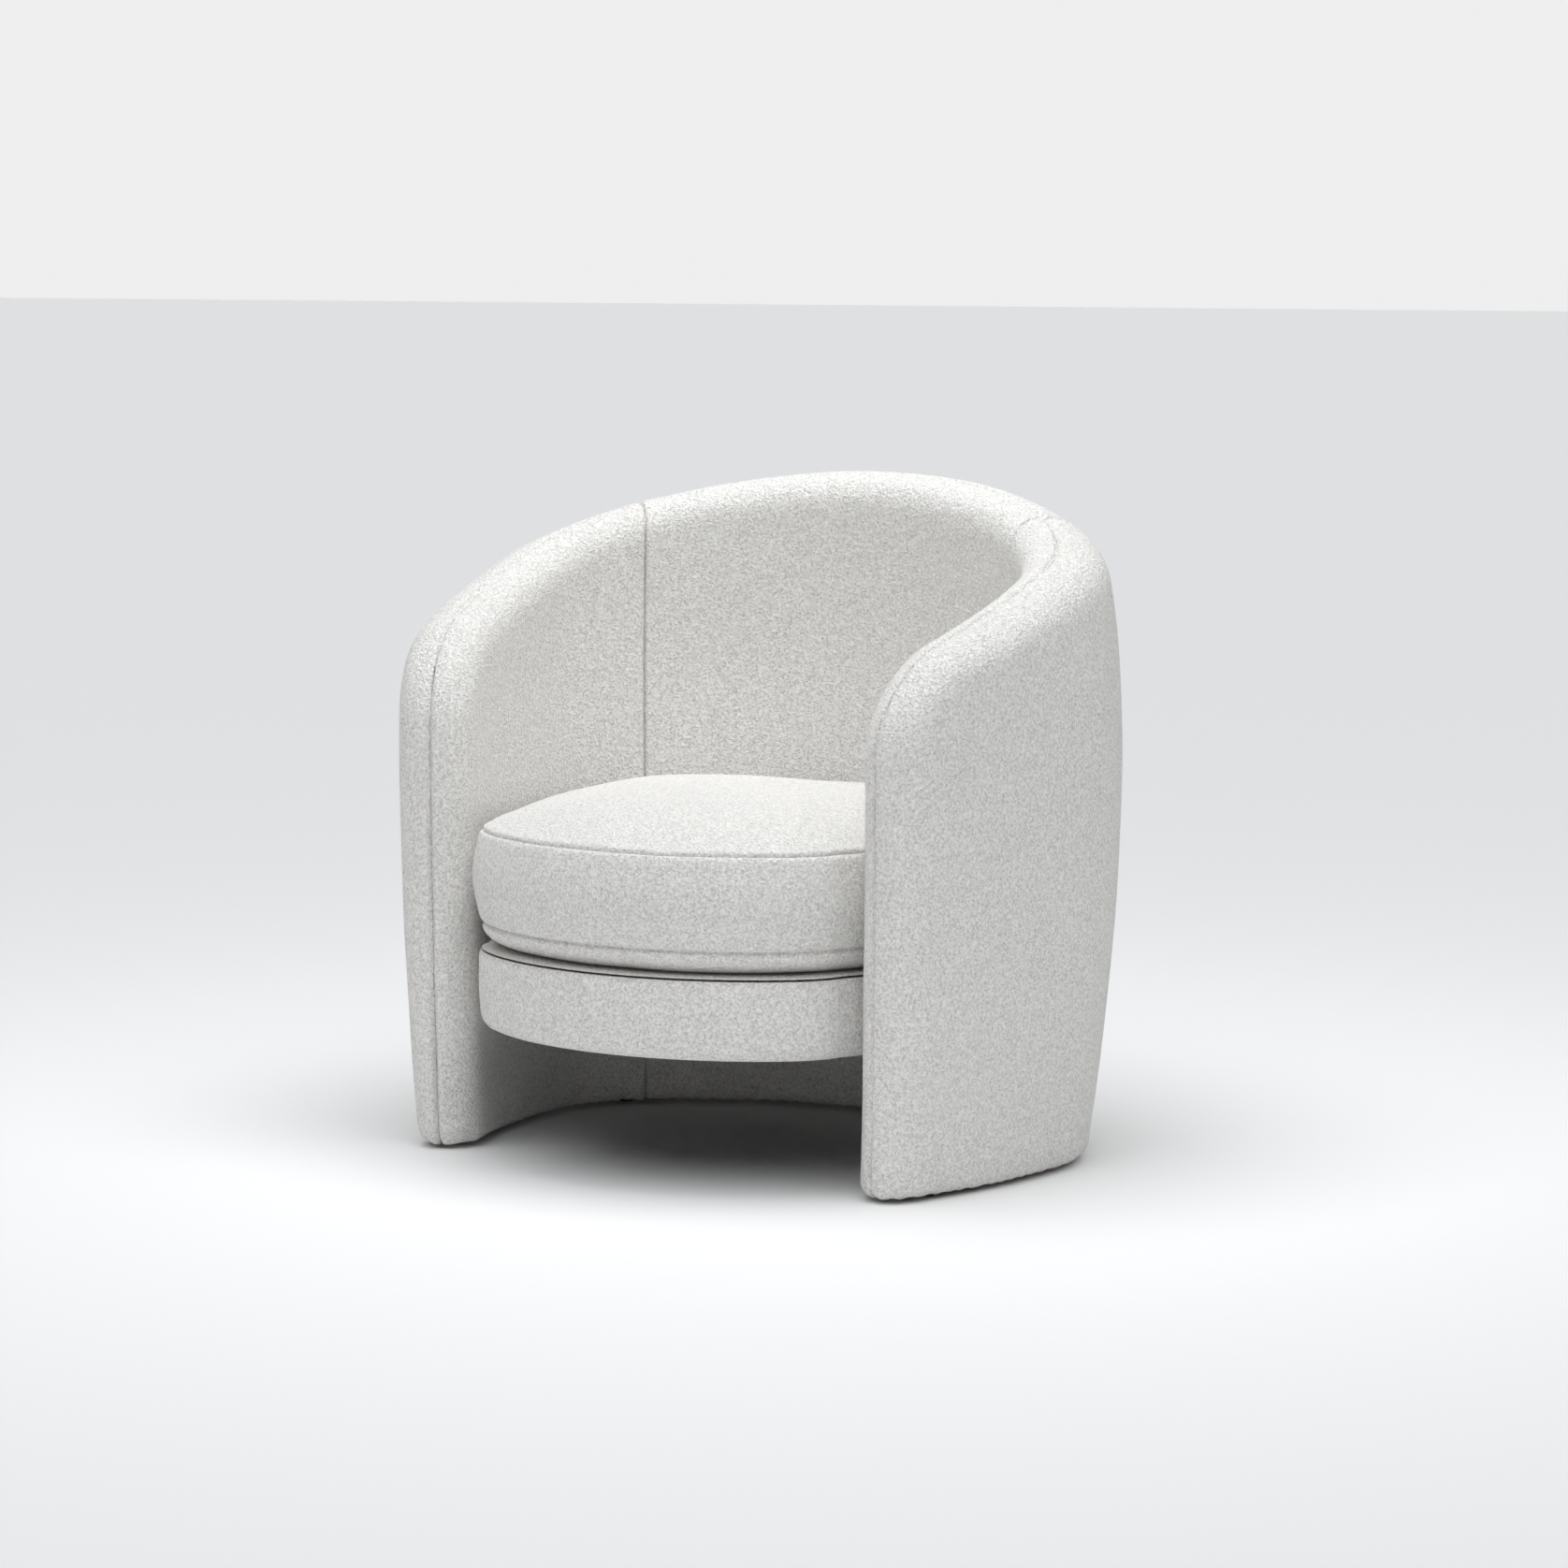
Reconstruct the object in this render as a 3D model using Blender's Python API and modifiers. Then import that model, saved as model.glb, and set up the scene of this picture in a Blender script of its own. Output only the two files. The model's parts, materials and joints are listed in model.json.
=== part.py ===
"""Barrel armchair: arms and back are one padded C-shaped wall that stands on the floor.

A round-fronted seat base is fixed inside the wall, and a loose zipped cushion lies on it.
Metres, +Z up, the front of the chair faces -Y, and the origin is on the floor under the
middle of the chair.
"""

import math

import bmesh
import bpy
import numpy as np

# ---------------------------------------------------------------- driving dimensions
# the wall, as a whole
HEIGHT = 0.760  # floor to the rim at the middle of the back
ARM_HEIGHT = 0.570  # floor to the rim's sloping plane at the arm fronts
HALF_WIDTH = 0.353  # middle of the chair to the middle of the wall, at its widest line
BACK_REACH = 0.238  # widest line to the middle of the wall behind the sitter
ARM_REACH = 0.278  # widest line to the arm fronts
TOE_IN = 0.058  # how far an arm front turns in
BACK_POWER = 1.85  # 2 would make the back half an ellipse
WALL = 0.088  # thickness of the padded wall
CORNER = 0.094  # radius of an arm's front top corner, seen from the side
NOSE_POWER = 2.2  # 2 would make the wall's edge a half circle
BELLY_HEIGHT = 0.479  # height at which the barrel is widest
BELLY = 0.0275  # how much thicker the back is there, on its outer side
FLOOR_TUCK = 0.007  # how far the wall stands in at the floor
FLOOR_CUT = 0.012  # how much thinner it is there, on its outer side
RIM_TUCK = 0.027  # how far the back's rim leans in
FOOT = 0.005  # floor to the underside of the covers
FOOT_RADIUS = 0.016  # rounding of the wall's lower edges
FLAP_END = 0.009  # middle of the wall to the end of a cover turned under it
# the wall's layers
COVER = 0.0025  # boucle with its backing
BOARD = 0.003  # bent fibreboard each side of the frame
FRAME = 0.024  # depth of the plywood frame through the wall
BOARD_SETBACK = 0.002  # the wall's rounded edge to the edge of boards and frame: the rest is foam
BASE_RAIL = 0.018  # thickness of the rail along the floor
TOP_RAIL = 0.018  # thickness of the rail under the rim
RIB_WIDTH = 0.040  # width of an upright along the wall
SOLE = 0.005  # how far the foam stops above the covers' underside
SEAM_COLUMN = 5  # stations between the middle of the back and a cover's upright seam
# the glides
GLIDE_RADIUS = 0.010
NAIL_RADIUS = 0.002
NAIL_LENGTH = 0.014  # length of the nail in the base rail
GLIDE_FRONT_REACH = 0.080  # arm front to the first glide
# the seat base
FRONT_RADIUS = 0.346  # radius of the seat's round front
SEAT_REACH = 0.3706  # widest line to the front of the seat
BASE_BOTTOM = 0.148  # floor to the underside of the seat base
BASE_TOP = 0.239  # floor to the top seam of the seat base
BASE_RADIUS = 0.020  # rounding of its lower edge
BASE_FLAP = 0.032  # how far the cover is turned under
BASE_FOAM_EDGE = (0.65, 0.30)  # inset and lift of the foam's lower edge, in rounding radii
RAIL_INSET = 0.022  # outside of the base to its wooden rails
RAIL_WIDTH = 0.024
RAIL_HEIGHT = 0.064
BLOCK_WIDTH = 0.030  # a corner block, from the rail inwards
BLOCK_HEIGHT = 0.045
DUST_COVER = 0.001
DECK_CLOTH = 0.002
# the springs
WIRE_RADIUS = 0.0018
SPRING_SPACING = 0.078
SPRING_SWING = 0.020  # half width of a spring's bends
SPRING_BENDS = 7
SPRING_SQUARENESS = 0.6  # 1 would make the bends a sine wave, and less squares them
CLIP_SHEET = 0.001
CLIP_LENGTH = 0.008
CLIP_TAB = 0.006
SPRING_END = 0.012  # straight length of wire at each end, under its clip
# the cushion
CUSHION_SEAM_LOW = 0.268  # floor to the lower seam of the boxing
CUSHION_SEAM_HIGH = 0.374  # floor to the upper seam
CUSHION_CROWN = 0.421  # floor to the top of the crown
CUSHION_UNDER = ((0.050, 0.0), (0.012, 0.3))  # inset and share of the drop under the low seam
CUSHION_TOP = ((0.040, 0.58), (0.100, 0.90), (0.180, 1.0))  # inset and share of the crown's rise
ZIP_HEIGHT = 0.026
ZIP_LENGTH = 0.260  # round the middle of the cushion's back
ZIP_END = 0.018  # end of the zip to the middle of its slider
ZIP_TAPE = 0.0012
SLIDER = (0.009, 0.003, 0.011)  # width, depth and height of the slider's body
PULL = (0.006, 0.001, 0.024)  # the pull tab
# clearances
GAP = 0.0003  # between pieces that touch
PLAY = 0.0015  # between the frame and its boards, for glue and staples
SEAT_CLEARANCE = 0.005  # between the seat or cushion and the wall
ZIP_SPACE = 0.013  # behind the cushion, for the zip's slider
LOOSE = 0.003  # slack where foam ends inside a cover
OFF_EDGE = 0.2  # turn of a nail hole that keeps its corners off the rail's edges, radians
JOINT = 0.01  # half the gap where a band round the seat meets the next, in stations

# ---------------------------------------------------------------- fineness of the surfaces
BACK_STEPS = 10  # stations from an arm front to the middle of the back
BACK_SPACING = 0.85  # 1 would space them evenly, and less sets them closer at the back
RIB_STATIONS = (4, 7, 10)  # the station before each rib of one side
NOSE_ANGLES = (0.0, 30.0, 60.0)  # stations round the wall's edge, in degrees
BODY_SHARES = (0.0, 0.25, 0.5, 0.75, 1.0)  # rows up the wall
PATH_SAMPLES = 400
SEAT_STATIONS = 40  # stations round the seat; the first is at the middle of the back
ZIP_STATIONS = 4  # those each side of the first that lie on the zip's arc
ZIP_STEPS = 16
CLIP_STEPS = 6  # facets round a clip's arch
WELD = 0.00005  # points this close are one
CORNER_ROUNDING = 14.0  # higher makes the seat's front corners sharper

EDGE = WALL / 2  # radius of the rounded rim and arm fronts
BOARD_EDGE = EDGE + BOARD_SETBACK  # rim or arm front to the edge of the boards
WIDEST_Y = (SEAT_REACH - (BACK_REACH + EDGE + BELLY)) / 2  # this centres the whole chair
SEAT_Y = WIDEST_Y - SEAT_REACH + FRONT_RADIUS  # centre of the seat's round front
CORE = FRAME / 2 + PLAY + BOARD + GAP  # middle of the wall to the back of the foam
CUSHION_BOTTOM = BASE_TOP + DECK_CLOTH + 3 * GAP
ZIP_LEVEL = (CUSHION_SEAM_LOW + CUSHION_SEAM_HIGH) / 2
RAIL_BOTTOM = BASE_BOTTOM + COVER + GAP
RAIL_TOP = RAIL_BOTTOM + RAIL_HEIGHT

MATERIALS = {
    "boucle": ((0.80, 0.78, 0.74), 0.95, 0.0),
    "foam": ((0.86, 0.80, 0.58), 0.90, 0.0),
    "fibreboard": ((0.42, 0.30, 0.19), 0.80, 0.0),
    "plywood": ((0.68, 0.52, 0.33), 0.60, 0.0),
    "spring_steel": ((0.45, 0.46, 0.48), 0.35, 1.0),
    "cambric": ((0.03, 0.03, 0.03), 0.90, 0.0),
    "zip_cloth": ((0.72, 0.70, 0.66), 0.85, 0.0),
    "nickel": ((0.70, 0.69, 0.66), 0.25, 1.0),
    "glide_plastic": ((0.05, 0.05, 0.05), 0.45, 0.0),
}


# ---------------------------------------------------------------- scene helpers
def clear_scene():
    for item in list(bpy.data.objects):
        bpy.data.objects.remove(item, do_unlink=True)


def new_collection(name):
    collection = bpy.data.collections.new(name)
    bpy.context.scene.collection.children.link(collection)
    return collection


def new_material(name):
    colour, roughness, metallic = MATERIALS[name]
    material = bpy.data.materials.new(name)
    material.use_nodes = True
    shader = material.node_tree.nodes["Principled BSDF"]
    shader.inputs["Base Color"].default_value = (*colour, 1.0)
    shader.inputs["Roughness"].default_value = roughness
    shader.inputs["Metallic"].default_value = metallic
    return material


def add_object(name, material, bm):
    """Makes the bmesh an object: a piece of the chair, or a cutter where material is None."""
    bmesh.ops.recalc_face_normals(bm, faces=bm.faces[:])
    if bm.calc_volume(signed=True) < 0:
        bmesh.ops.reverse_faces(bm, faces=bm.faces[:])
    mesh = bpy.data.meshes.new(name)
    bm.to_mesh(mesh)
    bm.free()
    item = bpy.data.objects.new(name, mesh)
    if material is None:
        CUTTERS.objects.link(item)
        item.hide_render = True
        item.display_type = "WIRE"
        return item
    CHAIR.objects.link(item)
    mesh.materials.append(PAINT[material])
    mesh.shade_smooth()
    mesh.set_sharp_from_angle(angle=math.radians(40))
    return item


def cut(item, cutter):
    modifier = item.modifiers.new(cutter.name, "BOOLEAN")
    modifier.operation = "DIFFERENCE"
    modifier.object = cutter


def sheet_solid(name, material, across, along, place):
    """A closed solid: a flat grid of cells, thickened, with each corner put where place() says.

    place(column, row, inner) is told the corner's column and row, and which face it is on.
    """
    bm = bmesh.new()
    bmesh.ops.create_grid(bm, x_segments=across, y_segments=along, size=0.5)
    bmesh.ops.triangulate(bm, faces=bm.faces[:], quad_method="FIXED")
    grown = bmesh.ops.extrude_face_region(bm, geom=bm.faces[:])
    for part in grown["geom"]:
        if isinstance(part, bmesh.types.BMVert):
            part.co.z = 1.0
    for vert in bm.verts:
        column = round((vert.co.x + 0.5) * across)
        row = round((vert.co.y + 0.5) * along)
        vert.co = place(column, row, vert.co.z > 0.5)
    return add_object(name, material, bm)


def ring_solid(name, material, sides, rings, place):
    """A closed solid: a cylinder cut into rings, with each corner put where place(side, ring) says."""
    bm = bmesh.new()
    bmesh.ops.create_cone(
        bm, cap_ends=True, cap_tris=False, segments=sides, radius1=1.0, radius2=1.0, depth=1.0
    )
    for ring in range(1, rings - 1):
        geometry = bm.verts[:] + bm.edges[:] + bm.faces[:]
        level = ring / (rings - 1) - 0.5
        bmesh.ops.bisect_plane(bm, geom=geometry, plane_co=(0, 0, level), plane_no=(0, 0, 1))
    quads = [face for face in bm.faces if len(face.verts) == 4]
    bmesh.ops.triangulate(bm, faces=quads, quad_method="FIXED")
    for vert in bm.verts:
        side = round(math.atan2(vert.co.y, vert.co.x) / math.tau * sides) % sides
        ring = round((vert.co.z + 0.5) * (rings - 1))
        vert.co = place(side, ring)
    return add_object(name, material, bm)


def box(name, material, size, centre):
    bm = bmesh.new()
    bmesh.ops.create_cube(bm, size=1.0)
    for vert in bm.verts:
        vert.co = [c + s * v for c, s, v in zip(centre, size, vert.co)]
    return add_object(name, material, bm)


# ---------------------------------------------------------------- the wall's shape
def half_plan():
    """The wall's middle line in plan, from the right arm's front to the middle of the back."""
    arm_y = np.linspace(WIDEST_Y - ARM_REACH, WIDEST_Y, PATH_SAMPLES)
    arm_x = HALF_WIDTH - TOE_IN * ((WIDEST_Y - arm_y) / ARM_REACH) ** 2
    turn = np.linspace(0.0, math.pi / 2, PATH_SAMPLES)
    back_x = HALF_WIDTH * np.cos(turn).clip(0.0) ** (2 / BACK_POWER)
    back_y = WIDEST_Y + BACK_REACH * np.sin(turn) ** (2 / BACK_POWER)
    x = np.concatenate([arm_x[:-1], back_x])
    y = np.concatenate([arm_y[:-1], back_y])
    return x, y


def plan_stations():
    """A table along half the wall: reach from the arm front, place, outward direction,
    share of the back's shaping, and rim height."""
    x, y = half_plan()
    steps = np.hypot(np.diff(x), np.diff(y))
    reach = np.concatenate([[0.0], np.cumsum(steps)])
    back = EDGE + (reach[-1] - EDGE) * np.linspace(0.0, 1.0, BACK_STEPS + 1) ** BACK_SPACING
    stations = np.concatenate([[0.0], back])
    out_x = np.interp(stations, reach, np.gradient(y, reach))
    out_y = np.interp(stations, reach, -np.gradient(x, reach))
    out_x[-1] = 0.0
    size = np.hypot(out_x, out_y)
    at_x = np.interp(stations, reach, x)
    at_y = np.interp(stations, reach, y)
    share = np.sin(stations / reach[-1] * math.pi / 2)
    rise = (at_y - at_y[0]) / (at_y[-1] - at_y[0])
    rim = ARM_HEIGHT + (HEIGHT - ARM_HEIGHT) * rise
    return stations, at_x, at_y, out_x / size, out_y / size, share, rim


STATIONS, PLAN_X, PLAN_Y, OUT_X, OUT_Y, SHARE, RIM = plan_stations()
HALF_LENGTH = STATIONS[-1]
COLUMNS = (
    [(-1, "nose", angle) for angle in NOSE_ANGLES]
    + [(-1, "body", reach) for reach in STATIONS[1:]]
    + [(1, "body", reach) for reach in STATIONS[-2:0:-1]]
    + [(1, "nose", angle) for angle in reversed(NOSE_ANGLES)]
)
NOSES = len(NOSE_ANGLES)
MIDDLE = NOSES + BACK_STEPS  # the column at the middle of the back


def rim_height(reach):
    return float(np.interp(reach, STATIONS, RIM))


def body_height(reach, share):
    """Height of a row of the wall between its rounded foot and its rounded rim."""
    low = FOOT + FOOT_RADIUS
    return low + share * (rim_height(reach) - EDGE - low)


def barrel(height):
    """How much of the tuck at the floor and of the lean at the rim a height has."""
    low = max(0.0, (BELLY_HEIGHT - height) / BELLY_HEIGHT) ** 2
    high = max(0.0, (height - BELLY_HEIGHT) / (HEIGHT - BELLY_HEIGHT)) ** 2
    return low, high


def between_rows(reach, height, value):
    """value(height), straight from one row of the wall to the next as its flat facets are."""
    rows = [FOOT] + [body_height(reach, share) for share in BODY_SHARES] + [rim_height(reach)]
    return float(np.interp(height, rows, [value(row) for row in rows]))


def outer_half(reach, height):
    """Middle of the wall to its outer side."""
    belly = BELLY * float(np.interp(reach, STATIONS, SHARE))

    def half(z):
        low, high = barrel(z)
        return EDGE + belly * (1.0 - high) - (belly + FLOOR_CUT) * low

    return between_rows(reach, height, half)


def wall_point(side, reach, height, offset):
    """A point of the wall, at an offset outwards from its middle surface."""
    share = float(np.interp(reach, STATIONS, SHARE))

    def lean(z):
        low, high = barrel(z)
        return -FLOOR_TUCK * low - share * RIM_TUCK * high

    out = between_rows(reach, height, lean) + offset
    x = np.interp(reach, STATIONS, PLAN_X) + out * np.interp(reach, STATIONS, OUT_X)
    y = np.interp(reach, STATIONS, PLAN_Y) + out * np.interp(reach, STATIONS, OUT_Y)
    return side * x, y, height


def nose_depth(angle, inset):
    """Distance from the wall's outline to a station round its edge, for a surface inset from it."""
    return EDGE - (EDGE - inset) * math.cos(math.radians(angle)) ** (2 / NOSE_POWER)


def round_corner(reach, depth, inset):
    """Moves a point near an arm's front top corner so that the outline there is an arc.

    Returns the moved point, and its distance from the outline."""
    if reach >= CORNER or depth >= CORNER:
        return reach, depth, min(reach, depth)
    radius = CORNER - inset
    p = (CORNER - reach) / radius
    q = (CORNER - depth) / radius
    across = p * math.sqrt(1.0 - q * q / 2.0)
    up = q * math.sqrt(1.0 - p * p / 2.0)
    distance = inset + radius * (1.0 - math.hypot(across, up))
    return CORNER - radius * across, CORNER - radius * up, distance


def edge_fullness(distance, inset):
    """Share of the full thickness that a surface has at a distance from the outline."""
    run = min(max((distance - inset) / (EDGE - inset), 0.0), 1.0)
    return (1.0 - (1.0 - run) ** NOSE_POWER) ** (1 / NOSE_POWER)


def skin_point(column, row, inset, face):
    """A point on a skin of the wall: face is 1 outside and -1 inside, inset is its depth."""
    side, kind, value = COLUMNS[column]
    row_kind, row_value = row
    radius = FOOT_RADIUS - inset
    height = None
    if row_kind == "flap":
        height = FOOT + inset
        inset = FOOT_RADIUS
    elif row_kind == "foot":
        height = FOOT + FOOT_RADIUS - radius * math.sin(math.radians(row_value))
        inset = FOOT_RADIUS - radius * math.cos(math.radians(row_value))
    reach = nose_depth(value, inset) if kind == "nose" else value
    if row_kind == "body":
        height = body_height(reach, row_value)
    depth = nose_depth(row_value, inset) if row_kind == "rim" else rim_height(reach) - height
    reach, depth, distance = round_corner(reach, depth, inset)
    height = rim_height(reach) - depth if row_kind in ("body", "rim") else height
    half = outer_half(reach, height) if face > 0 else EDGE
    full = edge_fullness(distance, inset)
    thick = FLAP_END * full if row_kind == "flap" else (half - inset) * full
    return wall_point(side, reach, height, face * max(thick, GAP / 2))


FOOT_ROWS = [("flap", 0.0)] + [("foot", angle) for angle in (90.0, 60.0, 30.0)]
BODY_ROWS = [("body", share) for share in BODY_SHARES]
RIM_ROWS = [("rim", angle) for angle in reversed(NOSE_ANGLES)]


def cover_panel(name, face, first, last):
    """One panel of a cover, from one column to another, with half a seam's gap at each end."""
    rows = FOOT_ROWS + BODY_ROWS + RIM_ROWS

    def place(column, row, inner):
        x, y, z = skin_point(first + column, rows[row], COVER if inner else 0.0, face)
        ends = {0: first > 0, last - first: last < len(COLUMNS) - 1}
        if ends.get(column):
            toward = first + 1 if column == 0 else last - 1
            tx, ty, tz = skin_point(toward, rows[row], COVER if inner else 0.0, face)
            size = math.dist((x, y, z), (tx, ty, tz))
            x += (tx - x) / size * GAP / 2
            y += (ty - y) / size * GAP / 2
            z += (tz - z) / size * GAP / 2
        return x, y, z

    sheet_solid(name, "boucle", last - first, len(rows) - 1, place)


def wall_foam(name, face):
    """The padding between a cover and its board. It fills the wall's rounded edge as well."""
    inset = COVER + GAP
    rows = [("sole", 0.0)] + BODY_ROWS + RIM_ROWS
    sole_turn = math.acos((FOOT_RADIUS - SOLE) / FOOT_RADIUS)
    sole_inset = FOOT_RADIUS * (1.0 - math.sin(sole_turn)) + inset + SOLE / 2

    def place(column, row, inner):
        side, kind, value = COLUMNS[column]
        row_kind, row_value = rows[row]
        deep = inset + LOOSE if inner else inset
        if row_kind == "sole":
            deep = max(deep, sole_inset)
        reach = nose_depth(value, deep) if kind == "nose" else value
        if row_kind == "rim":
            depth = nose_depth(row_value, deep)
        elif row_kind == "sole":
            depth = rim_height(reach) - FOOT - SOLE
        else:
            depth = rim_height(reach) - body_height(reach, row_value)
        reach, depth, distance = round_corner(reach, depth, deep)
        height = rim_height(reach) - depth
        if inner:
            thick = CORE if kind == "body" and row_kind != "rim" else GAP / 2
        else:
            half = outer_half(reach, height) if face > 0 else EDGE
            thick = (half - deep) * edge_fullness(distance, deep)
        return wall_point(side, reach, height, face * max(thick, GAP / 2))

    sheet_solid(name, "foam", len(COLUMNS) - 1, len(rows) - 1, place)


def frame_height(reach, row):
    """Height of a row of the boards and of the frame."""
    kind, value = row
    if kind == "body":
        return body_height(reach, value)
    if kind == "under_rim":
        return rim_height(reach) - BOARD_EDGE - value
    return FOOT + COVER + GAP + value


def frame_point(side, reach, row, offset):
    """A point of the frame or a board, with the arm's round corner kept."""
    depth = rim_height(reach) - frame_height(reach, row)
    if row[0] != "floor":
        reach, depth, _ = round_corner(reach, depth, BOARD_EDGE)
    return wall_point(side, reach, rim_height(reach) - depth, offset)


def wall_board(name, face):
    """A thin board bent round one side of the frame."""
    columns = COLUMNS[NOSES:-NOSES]
    rows = [("floor", GAP)] + BODY_ROWS[:-1] + [("under_rim", 0.0)]
    near = FRAME / 2 + PLAY

    def place(column, row, inner):
        side, _, reach = columns[column]
        offset = near if inner else near + BOARD
        return frame_point(side, max(reach, BOARD_EDGE), rows[row], face * offset)

    sheet_solid(name, "fibreboard", len(columns) - 1, len(rows) - 1, place)


def frame_piece(name, places, rows):
    """A wooden piece of the frame: places are (side, reach) along the wall."""

    def place(column, row, inner):
        side, reach = places[column]
        offset = -FRAME / 2 if inner else FRAME / 2
        return frame_point(side, reach, rows[row], offset)

    return sheet_solid(name, "plywood", len(places) - 1, len(rows) - 1, place)


def wall_frame():
    """Base rail, top rail, two shaped arm panels and the upright ribs between them."""
    stations = [(side, reach) for side, _, reach in COLUMNS[NOSES:-NOSES]]
    base = [(side, max(reach, BOARD_EDGE)) for side, reach in stations]
    rail = frame_piece("base_rail", base, [("floor", 0.0), ("floor", BASE_RAIL)])
    start = STATIONS[2]
    inside = [(side, reach) for side, reach in stations if reach > start]
    ends = [(-1, start + GAP)] + inside + [(1, start + GAP)]
    frame_piece("top_rail", ends, [("under_rim", TOP_RAIL), ("under_rim", 0.0)])
    foot = [("floor", BASE_RAIL + GAP)] + BODY_ROWS[1:-1]
    for side, hand in ((-1, "left"), (1, "right")):
        panel = [(side, BOARD_EDGE), (side, start)]
        frame_piece("arm_panel_" + hand, panel, foot + [("under_rim", 0.0)])
    number = 0
    for side in (-1, 1):
        for station in RIB_STATIONS:
            number += 1
            middle = (STATIONS[station] + STATIONS[station + 1]) / 2
            spots = [(side, middle - RIB_WIDTH / 2), (side, middle + RIB_WIDTH / 2)]
            top = ("under_rim", TOP_RAIL + 2 * PLAY)
            frame_piece(f"back_rib_{number}", spots, foot + [top])
    return rail


def glide_places():
    side_reach = (GLIDE_FRONT_REACH + HALF_LENGTH) / 2
    spots = [(-1, GLIDE_FRONT_REACH), (-1, side_reach), (1, HALF_LENGTH)]
    return spots + [(1, side_reach), (1, GLIDE_FRONT_REACH)]


def turned(name, material, profile, steps):
    """A solid of revolution about Z from a profile of (radius, height), read top to bottom."""
    bm = bmesh.new()
    verts = [bm.verts.new((radius, 0.0, height)) for radius, height in profile]
    for first, second in zip(verts, verts[1:]):
        bm.edges.new((first, second))
    mesh = bpy.data.meshes.new(name)
    bm.to_mesh(mesh)
    bm.free()
    item = bpy.data.objects.new(name, mesh)
    screw = item.modifiers.new("turn", "SCREW")
    screw.steps = steps
    screw.render_steps = steps
    screw.use_merge_vertices = True
    screw.merge_threshold = WELD
    if material is None:
        CUTTERS.objects.link(item)
        item.hide_render = True
        item.display_type = "WIRE"
    else:
        CHAIR.objects.link(item)
        mesh.materials.append(PAINT[material])
    return item


def glides(rail):
    """Nail-on glides, and the nails' holes in the base rail."""
    top = FOOT - GAP
    chamfer = top / 4
    nail_top = FOOT + COVER + GAP + NAIL_LENGTH
    shape = [(0.0, nail_top), (NAIL_RADIUS, nail_top), (NAIL_RADIUS, top), (GLIDE_RADIUS, top)]
    shape += [(GLIDE_RADIUS, chamfer), (GLIDE_RADIUS - chamfer, 0.0), (0.0, 0.0)]
    hole = NAIL_RADIUS + GAP
    drill = [(0.0, BASE_RAIL + 2 * FOOT), (hole, BASE_RAIL + 2 * FOOT), (hole, 0.0), (0.0, 0.0)]
    for number, (side, reach) in enumerate(glide_places(), start=1):
        x, y, _ = wall_point(side, reach, FOOT, 0.0)
        glide = turned(f"glide_{number}", "glide_plastic", shape, 10)
        glide.location = (x, y, 0.0)
        cutter = turned(f"nail_hole_{number}", None, drill, 8)
        cutter.location = (x, y, FOOT / 2)
        cutter.rotation_euler = (0.0, 0.0, OFF_EDGE)
        cut(rail, cutter)


def wall():
    last = len(COLUMNS) - 1
    left = MIDDLE - SEAM_COLUMN
    right = MIDDLE + SEAM_COLUMN
    for face, where in ((1, "outer"), (-1, "inner")):
        cover_panel(where + "_cover_left", face, 0, left)
        cover_panel(where + "_cover_back", face, left, right)
        cover_panel(where + "_cover_right", face, right, last)
        wall_foam(where + "_foam", face)
        wall_board(where + "_board", face)
    glides(wall_frame())


# ---------------------------------------------------------------- the seat's shape
def wall_radii(level, clearance):
    """Distance from the seat's centre to the wall's inner side, at each of its stations."""
    half = [wall_point(1, reach, level, -EDGE)[:2] for reach in STATIONS]
    ahead = np.array(half[0]) + (np.array(half[0]) - np.array(half[2])) * 4.0  # past the arm front
    line = [tuple(ahead)] + half
    line += [(-x, y) for x, y in reversed(line[:-1])]
    line = np.array(line) - np.array([0.0, SEAT_Y])
    radii = []
    for station in range(SEAT_STATIONS):
        angle = math.pi / 2 + station * math.tau / SEAT_STATIONS
        ray = np.array([math.cos(angle), math.sin(angle)])
        best = FRONT_RADIUS * 2
        for start, end in zip(line, line[1:]):
            step = end - start
            cross = ray[0] * step[1] - ray[1] * step[0]
            if abs(cross) < 1e-9:
                continue
            along = (start[0] * step[1] - start[1] * step[0]) / cross
            share = (start[0] * ray[1] - start[1] * ray[0]) / cross
            if along > 0 and -1e-6 <= share <= 1 + 1e-6:
                best = min(best, along)
        radii.append(best - clearance)
    return np.array(radii)


def seat_radii(level):
    """The seat's outline: inside the wall, with a round front and soft front corners."""
    beside = wall_radii(level, SEAT_CLEARANCE)
    power = CORNER_ROUNDING
    return (beside**-power + FRONT_RADIUS**-power) ** (-1 / power)


def seat_point(radii, station, inset, height):
    """A point of the seat at an inset from its outline; a part station lies on the facet between."""
    low = math.floor(station)
    spots = []
    for number in (low, low + 1):
        radius = radii[number % SEAT_STATIONS] - inset
        angle = math.pi / 2 + number * math.tau / SEAT_STATIONS
        spots.append((radius * math.cos(angle), SEAT_Y + radius * math.sin(angle)))
    share = station - low
    x = spots[0][0] * (1 - share) + spots[1][0] * share
    y = spots[0][1] * (1 - share) + spots[1][1] * share
    return x, y, height


def seat_band(name, material, radii, stations, outer, inner):
    """A band round the seat. outer and inner list its two faces as (inset, height), bottom up."""

    def place(column, row, inside):
        inset, height = inner[row] if inside else outer[row]
        return seat_point(radii, stations[column], inset, height)

    return sheet_solid(name, material, len(stations) - 1, len(outer) - 1, place)


def seat_disc(name, material, radii, rings):
    """A closed disc, cushion or pad. rings lists (inset, height), bottom up."""

    def place(side, ring):
        inset, height = rings[ring]
        return seat_point(radii, side, inset, height)

    return ring_solid(name, material, SEAT_STATIONS, len(rings), place)


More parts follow.
